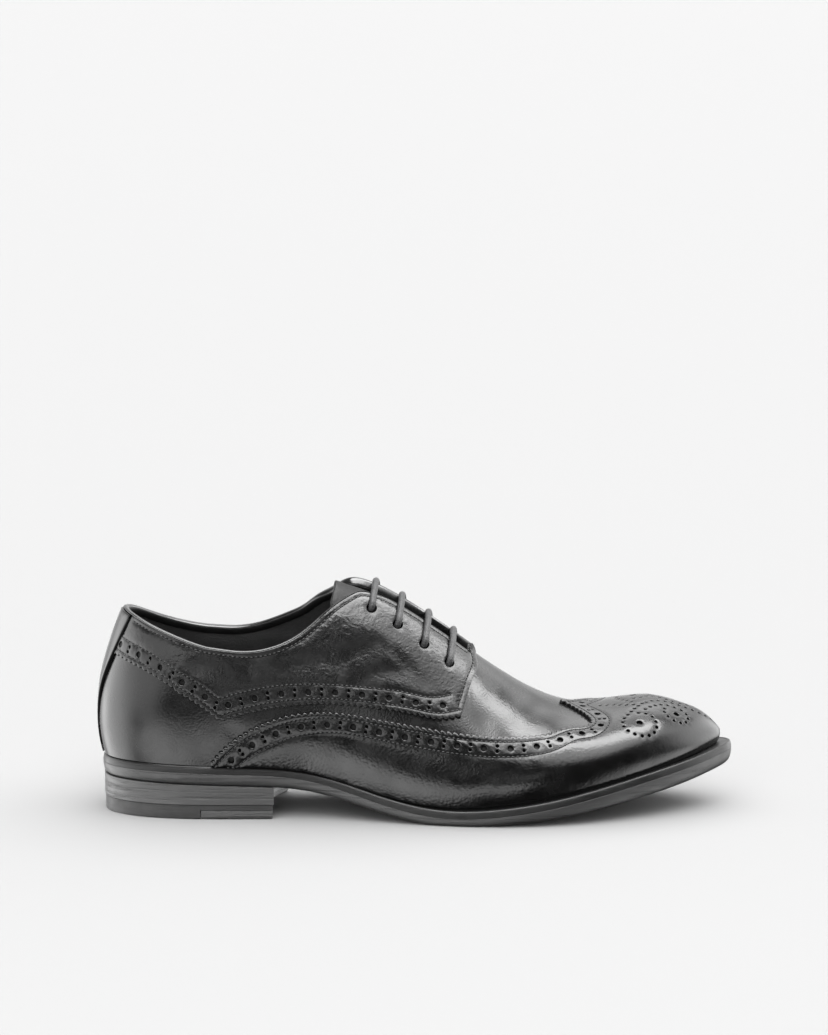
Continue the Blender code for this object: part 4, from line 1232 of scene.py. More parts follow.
def sew(name, seams, top, slot):
    """Stitches along flat seams, as one joined mesh that lies in the leather's grooves."""
    shape, shape_faces = stitch_shape()
    points, faces = [], []
    for seam in seams:
        ends = even(seam, STITCH_MM)
        middle = (ends[:-1] + ends[1:]) / 2
        place = skin(middle, top(middle) - SEAM_DEPTH + THREAD_RISE)
        along = unit(skin(ends[1:], top(ends[1:])) - skin(ends[:-1], top(ends[:-1])))
        across = unit(np.cross(outward(*PATTERN.lay(middle)), along))
        up = np.cross(along, across)
        for p, x, y, z in zip(place, along, across, up):
            start = len(points) * len(shape)
            points.append(p + shape @ np.array([x, y, z]))
            faces += [tuple(start + i for i in f) for f in shape_faces]
    item = mesh_object(name + "_stitches", np.vstack(points), faces, [nylon_thread], sharp=STITCH_SHARP)
    dress(item, slot)
    ends = np.vstack([even(seam, STITCH_MM) for seam in seams])
    # Each needle hole gets a lens of dull dark leather: painted shade in the hole.
    lenses(name + "_needle_holes", ends, NEEDLE_HOLE, top(ends) - SEAM_DEPTH + NEEDLE_RISE, slot)


print("stitches: every %.1f mm" % STITCH_MM)

# %% [markdown]
# Broguing is a band of holes between two seams, one close to the pinked edge and one behind the holes:
# large holes with a pair of small ones between them. All lines of the band run beside the edge at
# fixed distances, like the marks of a pattern maker's dividers.

# %% Broguing
BIG_HOLE = 1.45
PAIR_HOLE = 0.8
HOLE_PITCH = 12.4
EDGE_SEAM = 1.7
HOLE_LINE = 4.7
PAIR_HALF = 1.25
BAND_SEAM = 8.2
AXIS_CLEAR = 0.2
OVERLAY_SINK = 0.2
PLAIN_TOP = OVERLAY_GAP + OVERLAY - OVERLAY_SINK


def band(edge, inner_side, start, end, axis=None):
    """Holes and seams of a band along an edge: inner_side is 1 where the leather lies on the left."""
    lines = [beside(edge, inner_side * by) for by in (HOLE_LINE, EDGE_SEAM, BAND_SEAM)]
    if axis is not None:
        lines = [line[(line[:, 1] - axis) * inner_side > AXIS_CLEAR] for line in lines]
    middle = lines[0]
    count = round((true_run(middle)[-1] - start - end) / HOLE_PITCH)
    places = spread(middle, 2 * count + 1, start, end)
    way = places[2::2] - places[:-2:2]
    aside = left(way)
    across = np.linalg.solve(stretch_at(places[1::2]), aside[:, :, None])[:, :, 0]
    across = across / np.sqrt(np.sum(aside * across, axis=1, keepdims=True)) * PAIR_HALF
    pairs = np.vstack([places[1::2] + across, places[1::2] - across])
    return [(places[::2], BIG_HOLE), (pairs, PAIR_HOLE)], lines[1:]


print("large holes: about every %.1f mm" % HOLE_PITCH)

# %% [markdown]
# On top of the toe the wing cap carries a medallion, the traditional ram's horn: on each side a large
# and a small scroll of dots, each round a large hole, with a row of dots from the scrolls to the tip.
# A row is a path, and a dot is left out where it would come too near to another one.

# %% Medallion
DOT = 0.8
DOT_MM = 3.4
DOT_CLEAR = 2.4
SCROLLS = [
    ((256.7, -21.9), 8.0, 90, -180, [(249.5, -18.6), (251.8, -14.6), (255.0, -9.2), (259.0, -3.4)]),
    ((275.0, -9.0), 6.1, 160, 450, [(270.8, -2.3), (264.9, -5.4), (260.2, -10.2), (258.0, -13.0)]),
    ((255.4, 13.6), 8.0, -90, 180, [(248.0, 10.3), (250.4, 5.9), (254.0, 0.6)]),
    ((279.5, 11.2), 5.8, -160, -450, [(275.6, 4.6), (269.8, 6.4), (264.4, 8.6)]),
]
CENTRE_ROW = [(239.0, 1.2), (244.0, 0.6), (249.4, -2.2), (259.0, -3.4), (263.9, 0.4), (270.0, 2.2),
              (278.5, 1.6), (287.0, 1.2), (293.5, 3.2)]


def scroll(centre, radius, start, end, tail):
    """A row that winds round a centre and runs out into a tail."""
    turn = np.radians(np.linspace(start, end, 60))
    rim = np.asarray(centre) + radius * np.stack([np.cos(turn), np.sin(turn)], -1)
    return np.vstack([rim, smooth_path(np.vstack([rim[-1:], tail]))[1:]])


def medallion():
    """Centres of the medallion's large holes and of its dots."""
    rows = [scroll(*row) for row in SCROLLS] + [smooth_path(CENTRE_ROW)]
    large = [np.array(row[0]) for row in SCROLLS]
    dots = []
    for dot in np.vstack([even(row, DOT_MM) for row in rows]):
        if all(np.linalg.norm(dot - other) > DOT_CLEAR for other in dots + large):
            dots.append(dot)
    return np.array(large), np.array(dots)


print("scrolls of the medallion:", len(SCROLLS))

# %% [markdown]
# The wing cap wraps the toe and runs back along both sides in one piece of leather. Its upper edge is
# pinked all the way, its lower edge ends just above the welt.

# %% Wing cap
FEATHER_LIFT = 0.35
EDGE_PITCH = 1.2
WING_ENDS = (7.0, 3.5)


def feather_path(start, end, lift):
    """Flat points just above the feather edge from one rib to another."""
    s = np.linspace(start, end, round(abs(end - start) * GIRTH / EDGE_PITCH))
    t = BELLY_T * lift / SECTION["belly"](feather(s)[..., 0])
    return PATTERN.flat(s, t)


def plain_top(flat):
    return np.full(len(flat), PLAIN_TOP)


def make_wing():
    halves = {}
    tails = {name: PATTERN.rib_at(name, WING_TAIL) for name in SIGN}
    for name, sign in SIGN.items():
        t = BELLY_T * FEATHER_LIFT / SECTION["belly"](feather(tails[name])[0])
        tail = PATTERN.flat(tails[name], t)
        peak = [(x, TOE_AXIS + sign * d) for x, d in WING_PEAK]
        halves[name] = smooth_path(np.vstack([tail, PATTERN.edge(name, WING_EDGE), peak]))
    holes, seams = [], []
    for name, sign in SIGN.items():
        band_holes, band_seams = band(halves[name], sign, *WING_ENDS, TOE_AXIS)
        holes += band_holes
        seams += band_seams
    large, dots = medallion()
    holes += [(large, BIG_HOLE), (dots, DOT)]
    base = feather_path(tails["medial"], tails["lateral"], FEATHER_LIFT)
    segments = [(halves["lateral"], True, TOOTH_ROLL), (halves["medial"][::-1], True, TOOTH_ROLL),
                (base, False, SMALL_ROLL)]
    item = cut_leather("wing", segments, holes, seams, plain_top, UNDER, wing_calf)
    dress(item, "wing_leather", "wing_cap")
    sew("wing", seams, plain_top, "wing_leather")
    back_holes("wing", holes, "wing_leather")
    print("holes in the wing:", sum(len(centres) for centres, radius in holes))


make_wing()

# %% [markdown]
# The quarters carry the facings with the eyelets. They are nearly three millimetres thick at the
# facing, where a strip of leather backs the eyelets, and skived thin at the back, where the strip over
# the back seam meets them. Their lower edge is pinked and has its own band; one seam follows the
# collar and the facing.

# %% Quarters
FACING = 2.7
FACING_TOP = OVERLAY_GAP + FACING - OVERLAY_SINK
FACING_REACH = (45, 25)
FACING_START = (95, 115)
FRONT_ROLL = 0.2
QUARTER_ENDS = (5.0, 6.0)
COLLAR_SEAM = 2.3
COLLAR_SEAM_PART = slice(3, -6)
COLLAR_ROLL = 0.55
STRIP_GAP = 0.6
SKIVED_TOP = 0.8
SKIVED_TO = 48.0
BACK_HEIGHTS = [79.5, 83, 87, 91.5]


def across_heel(height, away):
    """Flat points at one height of the heel, at distances round it from the back seam."""
    s = np.mod(np.asarray(away, float) / GIRTH, 1.0)
    t = [np.interp(height, on_last(rib, PATTERN.t)[:, 2], PATTERN.t) for rib in s]
    return PATTERN.flat(s, t)


def strip_edge(name, heights, widen=0.0):
    """Flat points of the back strip's edge at the given heights on one side."""
    half = through(*zip(*BACK_STRIP))
    return np.vstack([across_heel(z, [-SIGN[name] * (half(z) + widen)]) for z in heights])


def facing_top(flat):
    """Height of the quarter's face: thick near the facing, skived thin towards the back strip."""
    run = np.abs(flat[:, 1] - ridge_at(flat[:, 0]))
    near = ramp(run, *FACING_REACH) * ramp(flat[:, 0], *FACING_START)
    s = PATTERN.lay(flat)[0]
    back = ramp(np.minimum(s, 1 - s) * GIRTH, SKIVED_TO, BACK_STRIP[-1][1])
    thin = (PLAIN_TOP - SKIVED_TOP) * ease(back)
    return PLAIN_TOP + (FACING_TOP - PLAIN_TOP) * ease(near) - thin


def collar_path(name):
    """The collar and the facing's edge of one side, from the back strip to the throat."""
    start = (BACK_STRIP[-1][1] + STRIP_GAP) / GIRTH
    stop = PATTERN.rib_at(name, THROAT_END)
    if name == "medial":
        start = 1.0 - start
    s = np.linspace(start, stop, round(abs(stop - start) * GIRTH / EDGE_PITCH))
    return PATTERN.flat(s, opening(s))


def make_quarter(name):
    sign = SIGN[name]
    collar = collar_path(name)
    corner = off_ridge(FACING_CORNER, sign)
    front = smooth_path(np.vstack([collar[-1:], corner]))
    rows = PATTERN.edge(name, QUARTER_EDGE)
    rear = smooth_path(rows[:QUARTER_POINT + 1])
    fore = smooth_path(np.vstack([rows[QUARTER_POINT:], corner[-1:]]))
    lower = np.vstack([rear[:-1], fore])
    back = smooth_path(strip_edge(name, BACK_HEIGHTS, STRIP_GAP))
    back = np.vstack([rear[:1], back, collar[:1]])
    segments = [(collar, False, COLLAR_ROLL), (front, False, FRONT_ROLL),
                (fore[::-1], True, TOOTH_ROLL), (rear[::-1], True, TOOTH_ROLL), (back, False, SMALL_ROLL)]
    holes, seams = band(lower, -sign, *QUARTER_ENDS)
    holes.append((eyelet_places(name), EYELET / 2))
    top_line = np.vstack([collar, front[1:]])
    seams.append(beside(top_line, sign * COLLAR_SEAM)[COLLAR_SEAM_PART])
    item = cut_leather("quarter_" + name + "_calf", segments, holes, seams, facing_top, UNDER, quarter_calf)
    dress(item, "quarter_leather", "quarter_" + name)
    sew("quarter_" + name, seams, facing_top, "quarter_leather")
    back_holes("quarter_" + name, holes[:2], "quarter_leather")


for side_name in SIGN:
    make_quarter(side_name)

# %% [markdown]
# A narrow strip covers the back seam and widens towards the collar, whose line its top follows. It is
# skived thin at its foot, so that it lies close to the heel. The tongue is a softer piece that lies
# under the facings; its top edge is folded over, which makes it thicker and rounder there.

# %% Back strip and tongue
STRIP_TOP = 1.6
STRIP_FOOT_TOP = 0.8
STRIP_SKIVED = (44, 68)
STRIP_BELOW = 0.5
STRIP_BELOW_T = 0.005
TONGUE_FOLD = (118, 114)
TONGUE_FOLD_RISE = 0.5
TONGUE_ROLL = 0.8


def strip_top(flat):
    """Height of the strip's face: skived thin below, at full thickness where it widens to the collar."""
    up = ramp(skin(flat, np.zeros(len(flat)))[:, 2], *STRIP_SKIVED)
    return STRIP_FOOT_TOP + (STRIP_TOP - STRIP_FOOT_TOP) * ease(up)


def strip_heights(name):
    """Heights along one edge of the strip, from its foot to the collar."""
    s = np.mod(-SIGN[name] * BACK_STRIP[-1][1] / GIRTH, 1.0)
    collar = float(on_last(s, opening(s))[2]) - STRIP_BELOW
    return np.linspace(BACK_STRIP[0][0], collar, 40)


def make_back_strip():
    sides = {name: strip_edge(name, strip_heights(name)) for name in SIGN}
    ends = [PATTERN.lay(sides[name][-1:])[0][0] for name in SIGN]
    s = np.linspace(ends[0], ends[1] - 1.0, 26)[1:-1]
    top = PATTERN.flat(s, opening(s) - STRIP_BELOW_T)
    top = np.vstack([sides["lateral"][-1:], top, sides["medial"][-1:]])
    foot = across_heel(BACK_STRIP[0][0], np.linspace(-1, 1, 8) * BACK_STRIP[0][1])
    segments = [(sides["lateral"], False, SMALL_ROLL), (top, False, COLLAR_ROLL),
                (sides["medial"][::-1], False, SMALL_ROLL), (foot, False, SMALL_ROLL)]
    item = cut_leather("back_strip_calf", segments, [], [], strip_top, UNDER, strip_calf)
    dress(item, "strip_leather", "back_strip")


def tongue_top(flat):
    return -TONGUE_DROP + TONGUE_FOLD_RISE * ease(ramp(flat[:, 0], *TONGUE_FOLD))


def make_tongue():
    edge = smooth_path(TONGUE_SHAPE, 0.8)
    lateral, medial = [off_ridge(edge, sign) for sign in SIGN.values()]
    foot = np.linspace(lateral[-1], medial[-1], 30)
    segments = [(path, False, TONGUE_ROLL) for path in (lateral, foot, medial[::-1])]
    item = cut_leather("tongue_calf", segments, [], [], tongue_top, -TONGUE_DROP - TONGUE, tongue_calf)
    dress(item, "tongue_leather", "tongue")


make_back_strip()
make_tongue()

# %% [markdown]
# Along the collar and the facings the outer leather is turned in over the lining, which leaves a
# rounded edge that shines. It is a tube with an oval section that sits on top of both layers, with a
# flatter one inside. The back strip is cut raw instead: a thin dull tube of inked leather follows its
# edges and shows as a dark line.

# %% Rolled collar edge and raw strip edge
EDGE_HALF_HEIGHT = 0.75
EDGE_LAP = 0.05
TURN_IN_HALF = 1.7
TURN_IN_THICK = 0.4
TURN_IN_LAP = 0.2
LINING_CLEAR = 0.1
RAW_EDGE_HALF = 0.3
RAW_EDGE_HIGH = 0.6
RAW_EDGE_SINK = 1.1 * RAW_EDGE_HIGH
TUBE_SHARP = 70


def tube(name, path, across, up, wide, high, finish, sides=12):
    """A tube of oval section along a path, with its two directions and half sizes at each point."""
    turn = np.arange(sides) * 2 * math.pi / sides
    ring = (across[:, None, :] * (np.cos(turn)[None, :, None] * np.asarray(wide)[:, None, None])
            + up[:, None, :] * (np.sin(turn)[None, :, None] * np.asarray(high)[:, None, None]))
    points = (path[:, None, :] + ring).reshape(-1, 3)
    return mesh_object(name, points, tube_faces(len(path), sides), [finish], sharp=TUBE_SHARP)


def make_collar_edge():
    start = PATTERN.rib_at("medial", THROAT_END - 1.0) - 1.0
    stop = PATTERN.rib_at("lateral", THROAT_END - 1.0)
    s = np.linspace(start, stop, round((stop - start) * GIRTH / EDGE_PITCH))
    t = opening(s)
    face = facing_top(PATTERN.flat(s, t))
    normal = outward(np.mod(s, 1.0), t)
    path = on_last(s, t) + normal * ((face - WALL) / 2)[:, None]
    up = unit(np.cross(unit(np.gradient(path, axis=0)), normal))
    size = np.ones(len(s))
    wide = (face + WALL) / 2 + EDGE_LAP
    item = tube("collar_rolled_edge", path, normal, up, wide, size * EDGE_HALF_HEIGHT, edge_calf)
    dress(item, "quarter_leather")
    down = up * (TURN_IN_HALF - TURN_IN_LAP) * np.sign(-up[len(s) // 2, 2])
    inner = on_last(s, t) - normal * (WALL + LINING_CLEAR) + down
    item = tube("collar_turned_in", inner, normal, up, size * TURN_IN_THICK, size * TURN_IN_HALF, tongue_calf)
    dress(item, "quarter_leather")


def make_strip_raw_edge(name):
    """The raw cut edge of the back strip, inked and dull: seen as a dark line."""
    flat = strip_edge(name, strip_heights(name)[2:-1], RAW_EDGE_HALF)
    path = skin(flat, strip_top(flat) - RAW_EDGE_SINK)
    normal = outward(*PATTERN.lay(flat))
    across = unit(np.cross(normal, np.gradient(path, axis=0)))
    size = np.ones(len(flat))
    item = tube("back_strip_raw_edge_" + name, path, across, normal, size * RAW_EDGE_HALF,
                size * RAW_EDGE_HIGH, inked_edge_and_painted_hole_shade)
    dress(item, "strip_leather")


make_collar_edge()
for side_name in SIGN:
    make_strip_raw_edge(side_name)

# %% [markdown]
# The lace makes four straight bars. It is one cord: it rises through an eyelet, crosses the throat,
# dips into the opposite eyelet and goes on to the next row inside, where tongue and facing press it
# flat. Over the facings it is pulled into the leather a little. Both ends stop inside at the top
# eyelets. The route is a short list of points, and a tube follows a smooth curve through them.

# %% Lace
LACE = 3.2
LACE_FLAT = (2.0, 0.5)
LACE_STEP = 0.8
LACE_SIDES = 16
LACE_PRESS = 0.5
LACE_SAG = 1.2
FLAT_BELOW = -0.9
LACE_RISE = FACING_TOP + LACE / 2 - LACE_PRESS
LACE_INSIDE = -WALL - 0.1 - LACE_FLAT[1]
BAR = [(-1.02, -0.8), (-1.02, 1.8), (-1.01, LACE_RISE - 0.9), (-0.94, LACE_RISE + 0.1), (-0.8, LACE_RISE),
       (-0.5, LACE_RISE), (0.0, LACE_RISE - LACE_SAG)]
BAR = BAR + [(-f, h) for f, h in BAR[-2::-1]]


def lace_route():
    """Flat points and heights of the whole lace, from one hidden end to the other."""
    route = []
    (x0, d0), (x1, d1) = EYELETS[0], EYELETS[-1]
    for f in np.linspace(0.05, 0.95, 7):
        bow = 5.0 * math.sin(math.pi * min(f * 1.6, 1))
        route.append((x0 + (x1 - x0) * f, -(d0 + (d1 - d0) * f - bow), LACE_INSIDE))
    for number, (x, d) in enumerate(EYELETS[::-1]):
        way = 1.0 if number % 2 == 0 else -1.0
        for f, h in BAR:
            route.append((x + EYELET_LEAN * (1 + way * f) / 2, way * f * d, h))
        if number < len(EYELETS) - 1:
            ahead = EYELETS[::-1][number + 1]
            for g in (0.3, 0.5, 0.7):
                inside_x = x + (ahead[0] - x) * g + EYELET_LEAN * (1 + way) / 2
                route.append((inside_x, way * (d + (ahead[1] - d) * g), LACE_INSIDE))
    route.append((x0 + 4.0, -d0 - 1.0, LACE_INSIDE))
    return np.array(route)


def braid_map(item, curve, place, along, up):
    """The cord's own coordinates on its mesh: millimetres along it and turns round it."""
    around = item.data.uv_layers.new(name="cord")
    where = np.array([v.co[:] for v in item.data.vertices])
    tree = KDTree(len(curve))
    for i, point in enumerate(metres(curve)):
        tree.insert(point, i)
    tree.balance()
    nearest = np.array([tree.find(point)[1] for point in where])
    reach = where - metres(curve)[nearest]
    turn = np.arctan2(np.einsum("ij,ij->i", reach, up[nearest]),
                      np.einsum("ij,ij->i", reach, np.cross(along, up)[nearest])) / (2 * math.pi)
    for polygon in item.data.polygons:
        turns = [turn[i] for i in polygon.vertices]
        wraps = max(turns) - min(turns) > 0.5
        for loop, i in zip(polygon.loop_indices, polygon.vertices):
            v = turn[i] + 1 if wraps and turn[i] < 0 else turn[i]
            around.data[loop].uv = (place[nearest[i]], v)


def make_lace():
    route = lace_route()
    s, t = PATTERN.lay(off_ridge(route[:, :2], 1.0))
    path = on_last(s, t) + outward(s, t) * route[:, 2:]
    run = run_along(path)
    place = np.linspace(0, run[-1], round(run[-1] / LACE_STEP))
    curve = np.stack([through(run, values)(place) for values in path.T], -1)
    depth = np.interp(place, run, route[:, 2])
    flatness = ramp(depth, FLAT_BELOW, LACE_INSIDE)
    wide = LACE / 2 + (LACE_FLAT[0] - LACE / 2) * flatness
    high = LACE / 2 + (LACE_FLAT[1] - LACE / 2) * flatness
    along = unit(np.gradient(curve, axis=0))
    up = np.zeros_like(along)
    up[0] = outward(s[:1], t[:1])[0]
    for i in range(1, len(up)):
        up[i] = unit(up[i - 1] - along[i] * (up[i - 1] @ along[i]))
    item = tube("lace_cord", curve, np.cross(along, up), up, wide, high, cord_braid, LACE_SIDES)
    braid_map(item, curve, place, along, up)
    dress(item, "waxed_cord", "lace_bar_1", "lace_bar_2", "lace_bar_3", "lace_bar_4")
    print("lace length: %.0f mm" % run[-1])


make_lace()

# %% [markdown]
# Sole and heel are stacked plates. A plate is an outline seen from above and a profile of its edge,
# from the top down: how far each line is set in, and how far down it lies. Fine grooves in the
# profile are the seams between the sheets of leather.

# %% Plates of the sole
CAP_FILL = 5.0
CAP_CLEAR = CAP_FILL / 3
CORNER_LEAST = 0.4
PLATE_SHARP = 40


def flat_at(height):
    return lambda x: np.full(np.shape(x), float(height))


def set_in(outline, by):
    """A closed outline moved inward, its corners kept sharp."""
    inward = left(unit(np.roll(outline, -1, 0) - outline))
    before = np.roll(inward, 1, 0)
    share = 1 + np.sum(inward * before, axis=1, keepdims=True)
    return outline + (inward + before) / np.maximum(share, CORNER_LEAST) * by


def cap(ring, height, points, faces):
    """Fills one end of a plate with triangles that follow its height."""
    low, high = ring.min(axis=0), ring.max(axis=0)
    grid = np.array([(x, y) for x in np.arange(low[0], high[0], CAP_FILL)
                     for y in np.arange(low[1], high[1], CAP_FILL)])
    grid = grid[inside(grid, ring)]
    grid = grid[away_from(ring, grid) > CAP_CLEAR]
    count = len(ring)
    edges = [(i, (i + 1) % count) for i in range(count)]
    made = delaunay_2d_cdt([Vector(p) for p in np.vstack([ring, grid])], edges, [], 1, 1e-6)
    flat = np.array([tuple(v) for v in made[0]])
    first = sum(len(block) for block in points)
    points.append(np.column_stack([flat, height(flat[:, 0])]))
    faces += [tuple(first + i for i in f) for f in made[2]]


def plate(name, outline, profile, top, bottom, finish):
    """A closed plate between two heights; profile gives inset and share of the way down."""
    points, faces = [], quads(len(profile), len(outline))
    edges = [set_in(outline, by) for by, share in profile]
    for (by, share), ring in zip(profile, edges):
        x = ring[:, 0]
        points.append(np.column_stack([ring, top(x) * (1 - share) + bottom(x) * share]))
    cap(edges[0], top, points, faces)
    cap(edges[-1], bottom, points, faces)
    return mesh_object(name, np.vstack(points), faces, [finish], sharp=PLATE_SHARP)


def grooved(by, seams, depth, half, soft, share):
    """Profile of an edge with rounded corners and fine grooves at given shares of the way down."""
    rows = [(by + soft, 0.0), (by + 0.3 * soft, 0.3 * share), (by, share)]
    for place in seams:
        rows += [(by, place - half), (by + depth, place), (by, place + half)]
    return rows + [(by, 1 - share), (by + 0.3 * soft, 1 - 0.3 * share), (by + soft, 1.0)]


print("plates: filled every %.0f mm" % CAP_FILL)

# %% [markdown]
# The welt is a narrow strip that the upper stands on, with a bead along its rim. The outsole lies under
# it, its edge trimmed in towards the tread, and the insole lies inside. All three follow the height of
# the last's seat, from the heel over the arch of the waist to the spring of the toe.

# %% Welt, outsole and insole
WELT = 3.6
WELT_LAP = 3.4
INSOLE = 2.6
INSOLE_CLEAR = 0.4
INSOLE_OVER = 0.1
PLATE_GAP = 0.03
SOLE_STEPS = 640
INSOLE_STEPS = 420
seat = SECTION["seat"]


def welt_foot(x):
    return seat(x) - WELT


def tread(x):
    return np.maximum(seat(x) - SECTION["sole"](x), 0.0)


def make_welt():
    """A strip round the whole sole that the upper stands on, with a bead along its upper rim."""
    s = np.linspace(0, 1, SOLE_STEPS, endpoint=False)
    inner = SECTION["ledge"](OUTLINE(s)[..., 0]) + WELT_LAP
    profile = [(None, 0.0), (2.6, 0.0), (2.2, 0.2), (1.8, 0.0), (1.3, 0.02), (0.9, 0.25), (0.6, 0.7),
               (0.35, 1.4), (0.12, 2.5), (0.0, WELT - 0.1), (0.1, WELT), (None, WELT)]
    layers = []
    for by, down in profile:
        plan = inset(s, inner if by is None else np.full(len(s), by))
        layers.append(np.column_stack([plan, seat(plan[:, 0]) - down]))
    faces = quads(len(profile), len(s), closed=True)
    item = mesh_object("welt_strip", np.vstack(layers), faces, [welt_edge], sharp=PLATE_SHARP)
    dress(item, "welt_leather", "welt")


def make_outsole():
    outline = OUTLINE(np.linspace(0, 1, SOLE_STEPS, endpoint=False))
    profile = [(0.1, 0.0), (0.0, 0.02), (0.04, 0.2), (0.2, 0.45), (0.55, 0.7), (1.1, 0.88), (2.0, 1.0)]
    item = plate("outsole_plate", outline, profile, lambda x: welt_foot(x) - PLATE_GAP, tread, sole_edge)
    dress(item, "sole_leather", "outsole")


def make_insole():
    s = np.linspace(0, 1, INSOLE_STEPS, endpoint=False)
    outline = inset(s, SECTION["ledge"](OUTLINE(s)[..., 0]) + WELT_LAP + INSOLE_CLEAR)
    profile = [(1.2, 0.0), (0.3, 0.12), (0.0, 0.4), (0.0, 1.0)]
    item = plate("insole_sock", outline, profile, lambda x: seat(x) + INSOLE - WELT,
                 lambda x: welt_foot(x) + INSOLE_OVER, insole_hide)
    dress(item, "insole_lining", "insole")


make_welt()
make_outsole()
make_insole()

# %% [markdown]
# The heel is a block of three lifts of leather under the seat, then a layer of rubber. Below that the
# rear half is the rubber tip that wears, and the front half a last lift of leather. Their outlines are
# cut from the sole's outline; the front of the heel is a hollow arc. A few points next to each corner
# are left out, so that an inset edge doesn't cross itself there.

# %% Heel
LIFT = 7.0
FRONT_LIFT = 4.2
FRONT_LIFT_START = 48.0
HEEL_INSET = 0.5
STACK_INSET = HEEL_INSET + 0.2
LIFT_INSET = HEEL_INSET + 0.6
STACK_SEAMS = (0.34, 0.67)
STACK_OVER = 0.1
RUBBER_SEAM = FRONT_LIFT + 0.15
BREAST_RADIUS = 70.0
BREAST_CENTRE = np.array([149.6, -7.2])
BREAST_STEPS = 60
HEEL_STEPS = 2401
RIM_STRIDE = 3
CORNER_CLEAR = 3


def heel_outline():
    """The sole's outline round the heel, closed by the hollow breast."""
    loop = OUTLINE(np.linspace(-0.5, 0.5, HEEL_STEPS))
    behind = np.linalg.norm(loop - BREAST_CENTRE, axis=1) > BREAST_RADIUS
    keep = behind & (loop[:, 0] < BREAST_CENTRE[0])
    rim = loop[keep][::RIM_STRIDE]
    rim = np.vstack([rim[:1], rim[CORNER_CLEAR:-CORNER_CLEAR], rim[-1:]])
    start, end = [math.atan2(*(rim[k] - BREAST_CENTRE)[::-1]) % (2 * math.pi) for k in (-1, 0)]
    turn = np.linspace(start, end, BREAST_STEPS)[CORNER_CLEAR:-CORNER_CLEAR]
    breast = BREAST_CENTRE + BREAST_RADIUS * np.stack([np.cos(turn), np.sin(turn)], -1)
    return np.vstack([rim, breast])


def rear_part(outline, x):
    """The part of the heel's outline behind a line across it."""
    part = outline[outline[:, 0] < x]
    gap = int(np.argmax(np.linalg.norm(np.roll(part, -1, 0) - part, axis=1)))
    part = np.roll(part, -(gap + 1), axis=0)
    return np.vstack([part[CORNER_CLEAR:-CORNER_CLEAR], [(x, part[-1][1]), (x, part[0][1])]])


def front_part(outline, x):
    """The part of the heel's outline in front of a line across it."""
    order = np.where(outline[:, 0] >= x)[0]
    jump = int(np.argmax(np.diff(order))) + 1
    part = np.vstack([outline[order[jump:]], outline[order[:jump]]])
    kept = part[CORNER_CLEAR:-CORNER_CLEAR]
    return np.vstack([[(x, part[0][1])], kept, [(x, part[-1][1])]])


def make_heel():
    outline = heel_outline()
    profile = grooved(STACK_INSET, STACK_SEAMS, depth=0.05, half=0.012, soft=0.12, share=0.02)
    stack = plate("heel_stack_block", outline, profile, lambda x: tread(x) - PLATE_GAP,
                  flat_at(LIFT + STACK_OVER), stack_edge)
    dress(stack, "stacked_leather", "heel_stack")
    side = LIFT_INSET
    layer = plate("heel_rubber_layer", outline, [(side + 0.2, 0.0), (side, 0.08), (side, 1.0)],
                  flat_at(LIFT), flat_at(RUBBER_SEAM), heel_rubber)
    tip = plate("heel_rubber_tip", rear_part(outline, FRONT_LIFT_START + side),
                [(side, 0.0), (side, 0.86), (side + 0.25, 0.95), (side + 0.8, 1.0)],
                flat_at(RUBBER_SEAM), flat_at(0), heel_rubber)
    front = plate("heel_leather_lift", front_part(outline, FRONT_LIFT_START + GAP - side),
                  [(side + 0.3, 0.0), (side + 0.1, 0.06), (side + 0.1, 0.86), (side + 0.35, 0.95),
                   (side + 0.9, 1.0)],
                  flat_at(FRONT_LIFT), flat_at(0), stack_edge)
    dress(layer, "heel_rubber", "heel_top_piece")
    dress(tip, "heel_rubber")
    dress(front, "stacked_leather", "heel_front_lift")


make_heel()

# %% [markdown]
# The studio: a pale floor without an end, and a dome of soft light. Black leather shows little but
# reflections, so the dome is shaped like a real set-up: a white wall behind, panels beside heel and
# toe, bright floor before the shoe, and darkness on the camera's side. Each lamp is a round patch of
# the dome: the degrees it lies round from the camera and up, its outer and inner radius, its strength.

# %% Floor and dome
FLOOR_GREY = "5f5f5f"
FLOOR_HALF = 40.0
DARK_SIDE = 0.04
LAMPS = {
    "white wall behind": (180, 12, 56, 25, 1.1),
    "wall above": (172, 48, 24, 8, 2.9),
    "glow before the box": (58, 66, 30, 8, 5.8),
    "window above the front": (22, 45, 15, 6, 3.6),
    "strip in front": (8, 6, 10, 3, 2.0),
    "panel at the heel": (-98, -10, 50, 16, 6.2),
    "panel beside the heel": (-45, 12, 26, 8, 3.0),
    "floor before the heel": (-32, -28, 24, 10, 5.0),
    "floor before the waist": (1, -21, 15, 6, 4.2),
    "panel at the toe": (108, 14, 50, 14, 5.3),
    "floor before the toe": (78, -36, 26, 8, 4.2),
}


def stage_sheet(name, corners, finish):
    """A flat sheet of the studio, in metres, which isn't part of the shoe."""
    mesh = bpy.data.meshes.new(name)
    mesh.from_pydata(corners, [], [(0, 1, 2, 3)])
    mesh.materials.append(finish)
    sheet = placed(name, mesh)
    return sheet


def make_floor():
    made, tree, shader = material("studio_floor_paper")
    connect(tree, shader, {"Base Color": srgb(FLOOR_GREY), "Roughness": 0.9, "Specular IOR Level": 0.1})
    h = FLOOR_HALF
    floor = stage_sheet("studio_floor", [(-h, -h, 0), (h, -h, 0), (h, h, 0), (-h, h, 0)], made)
    floor.visible_glossy = False


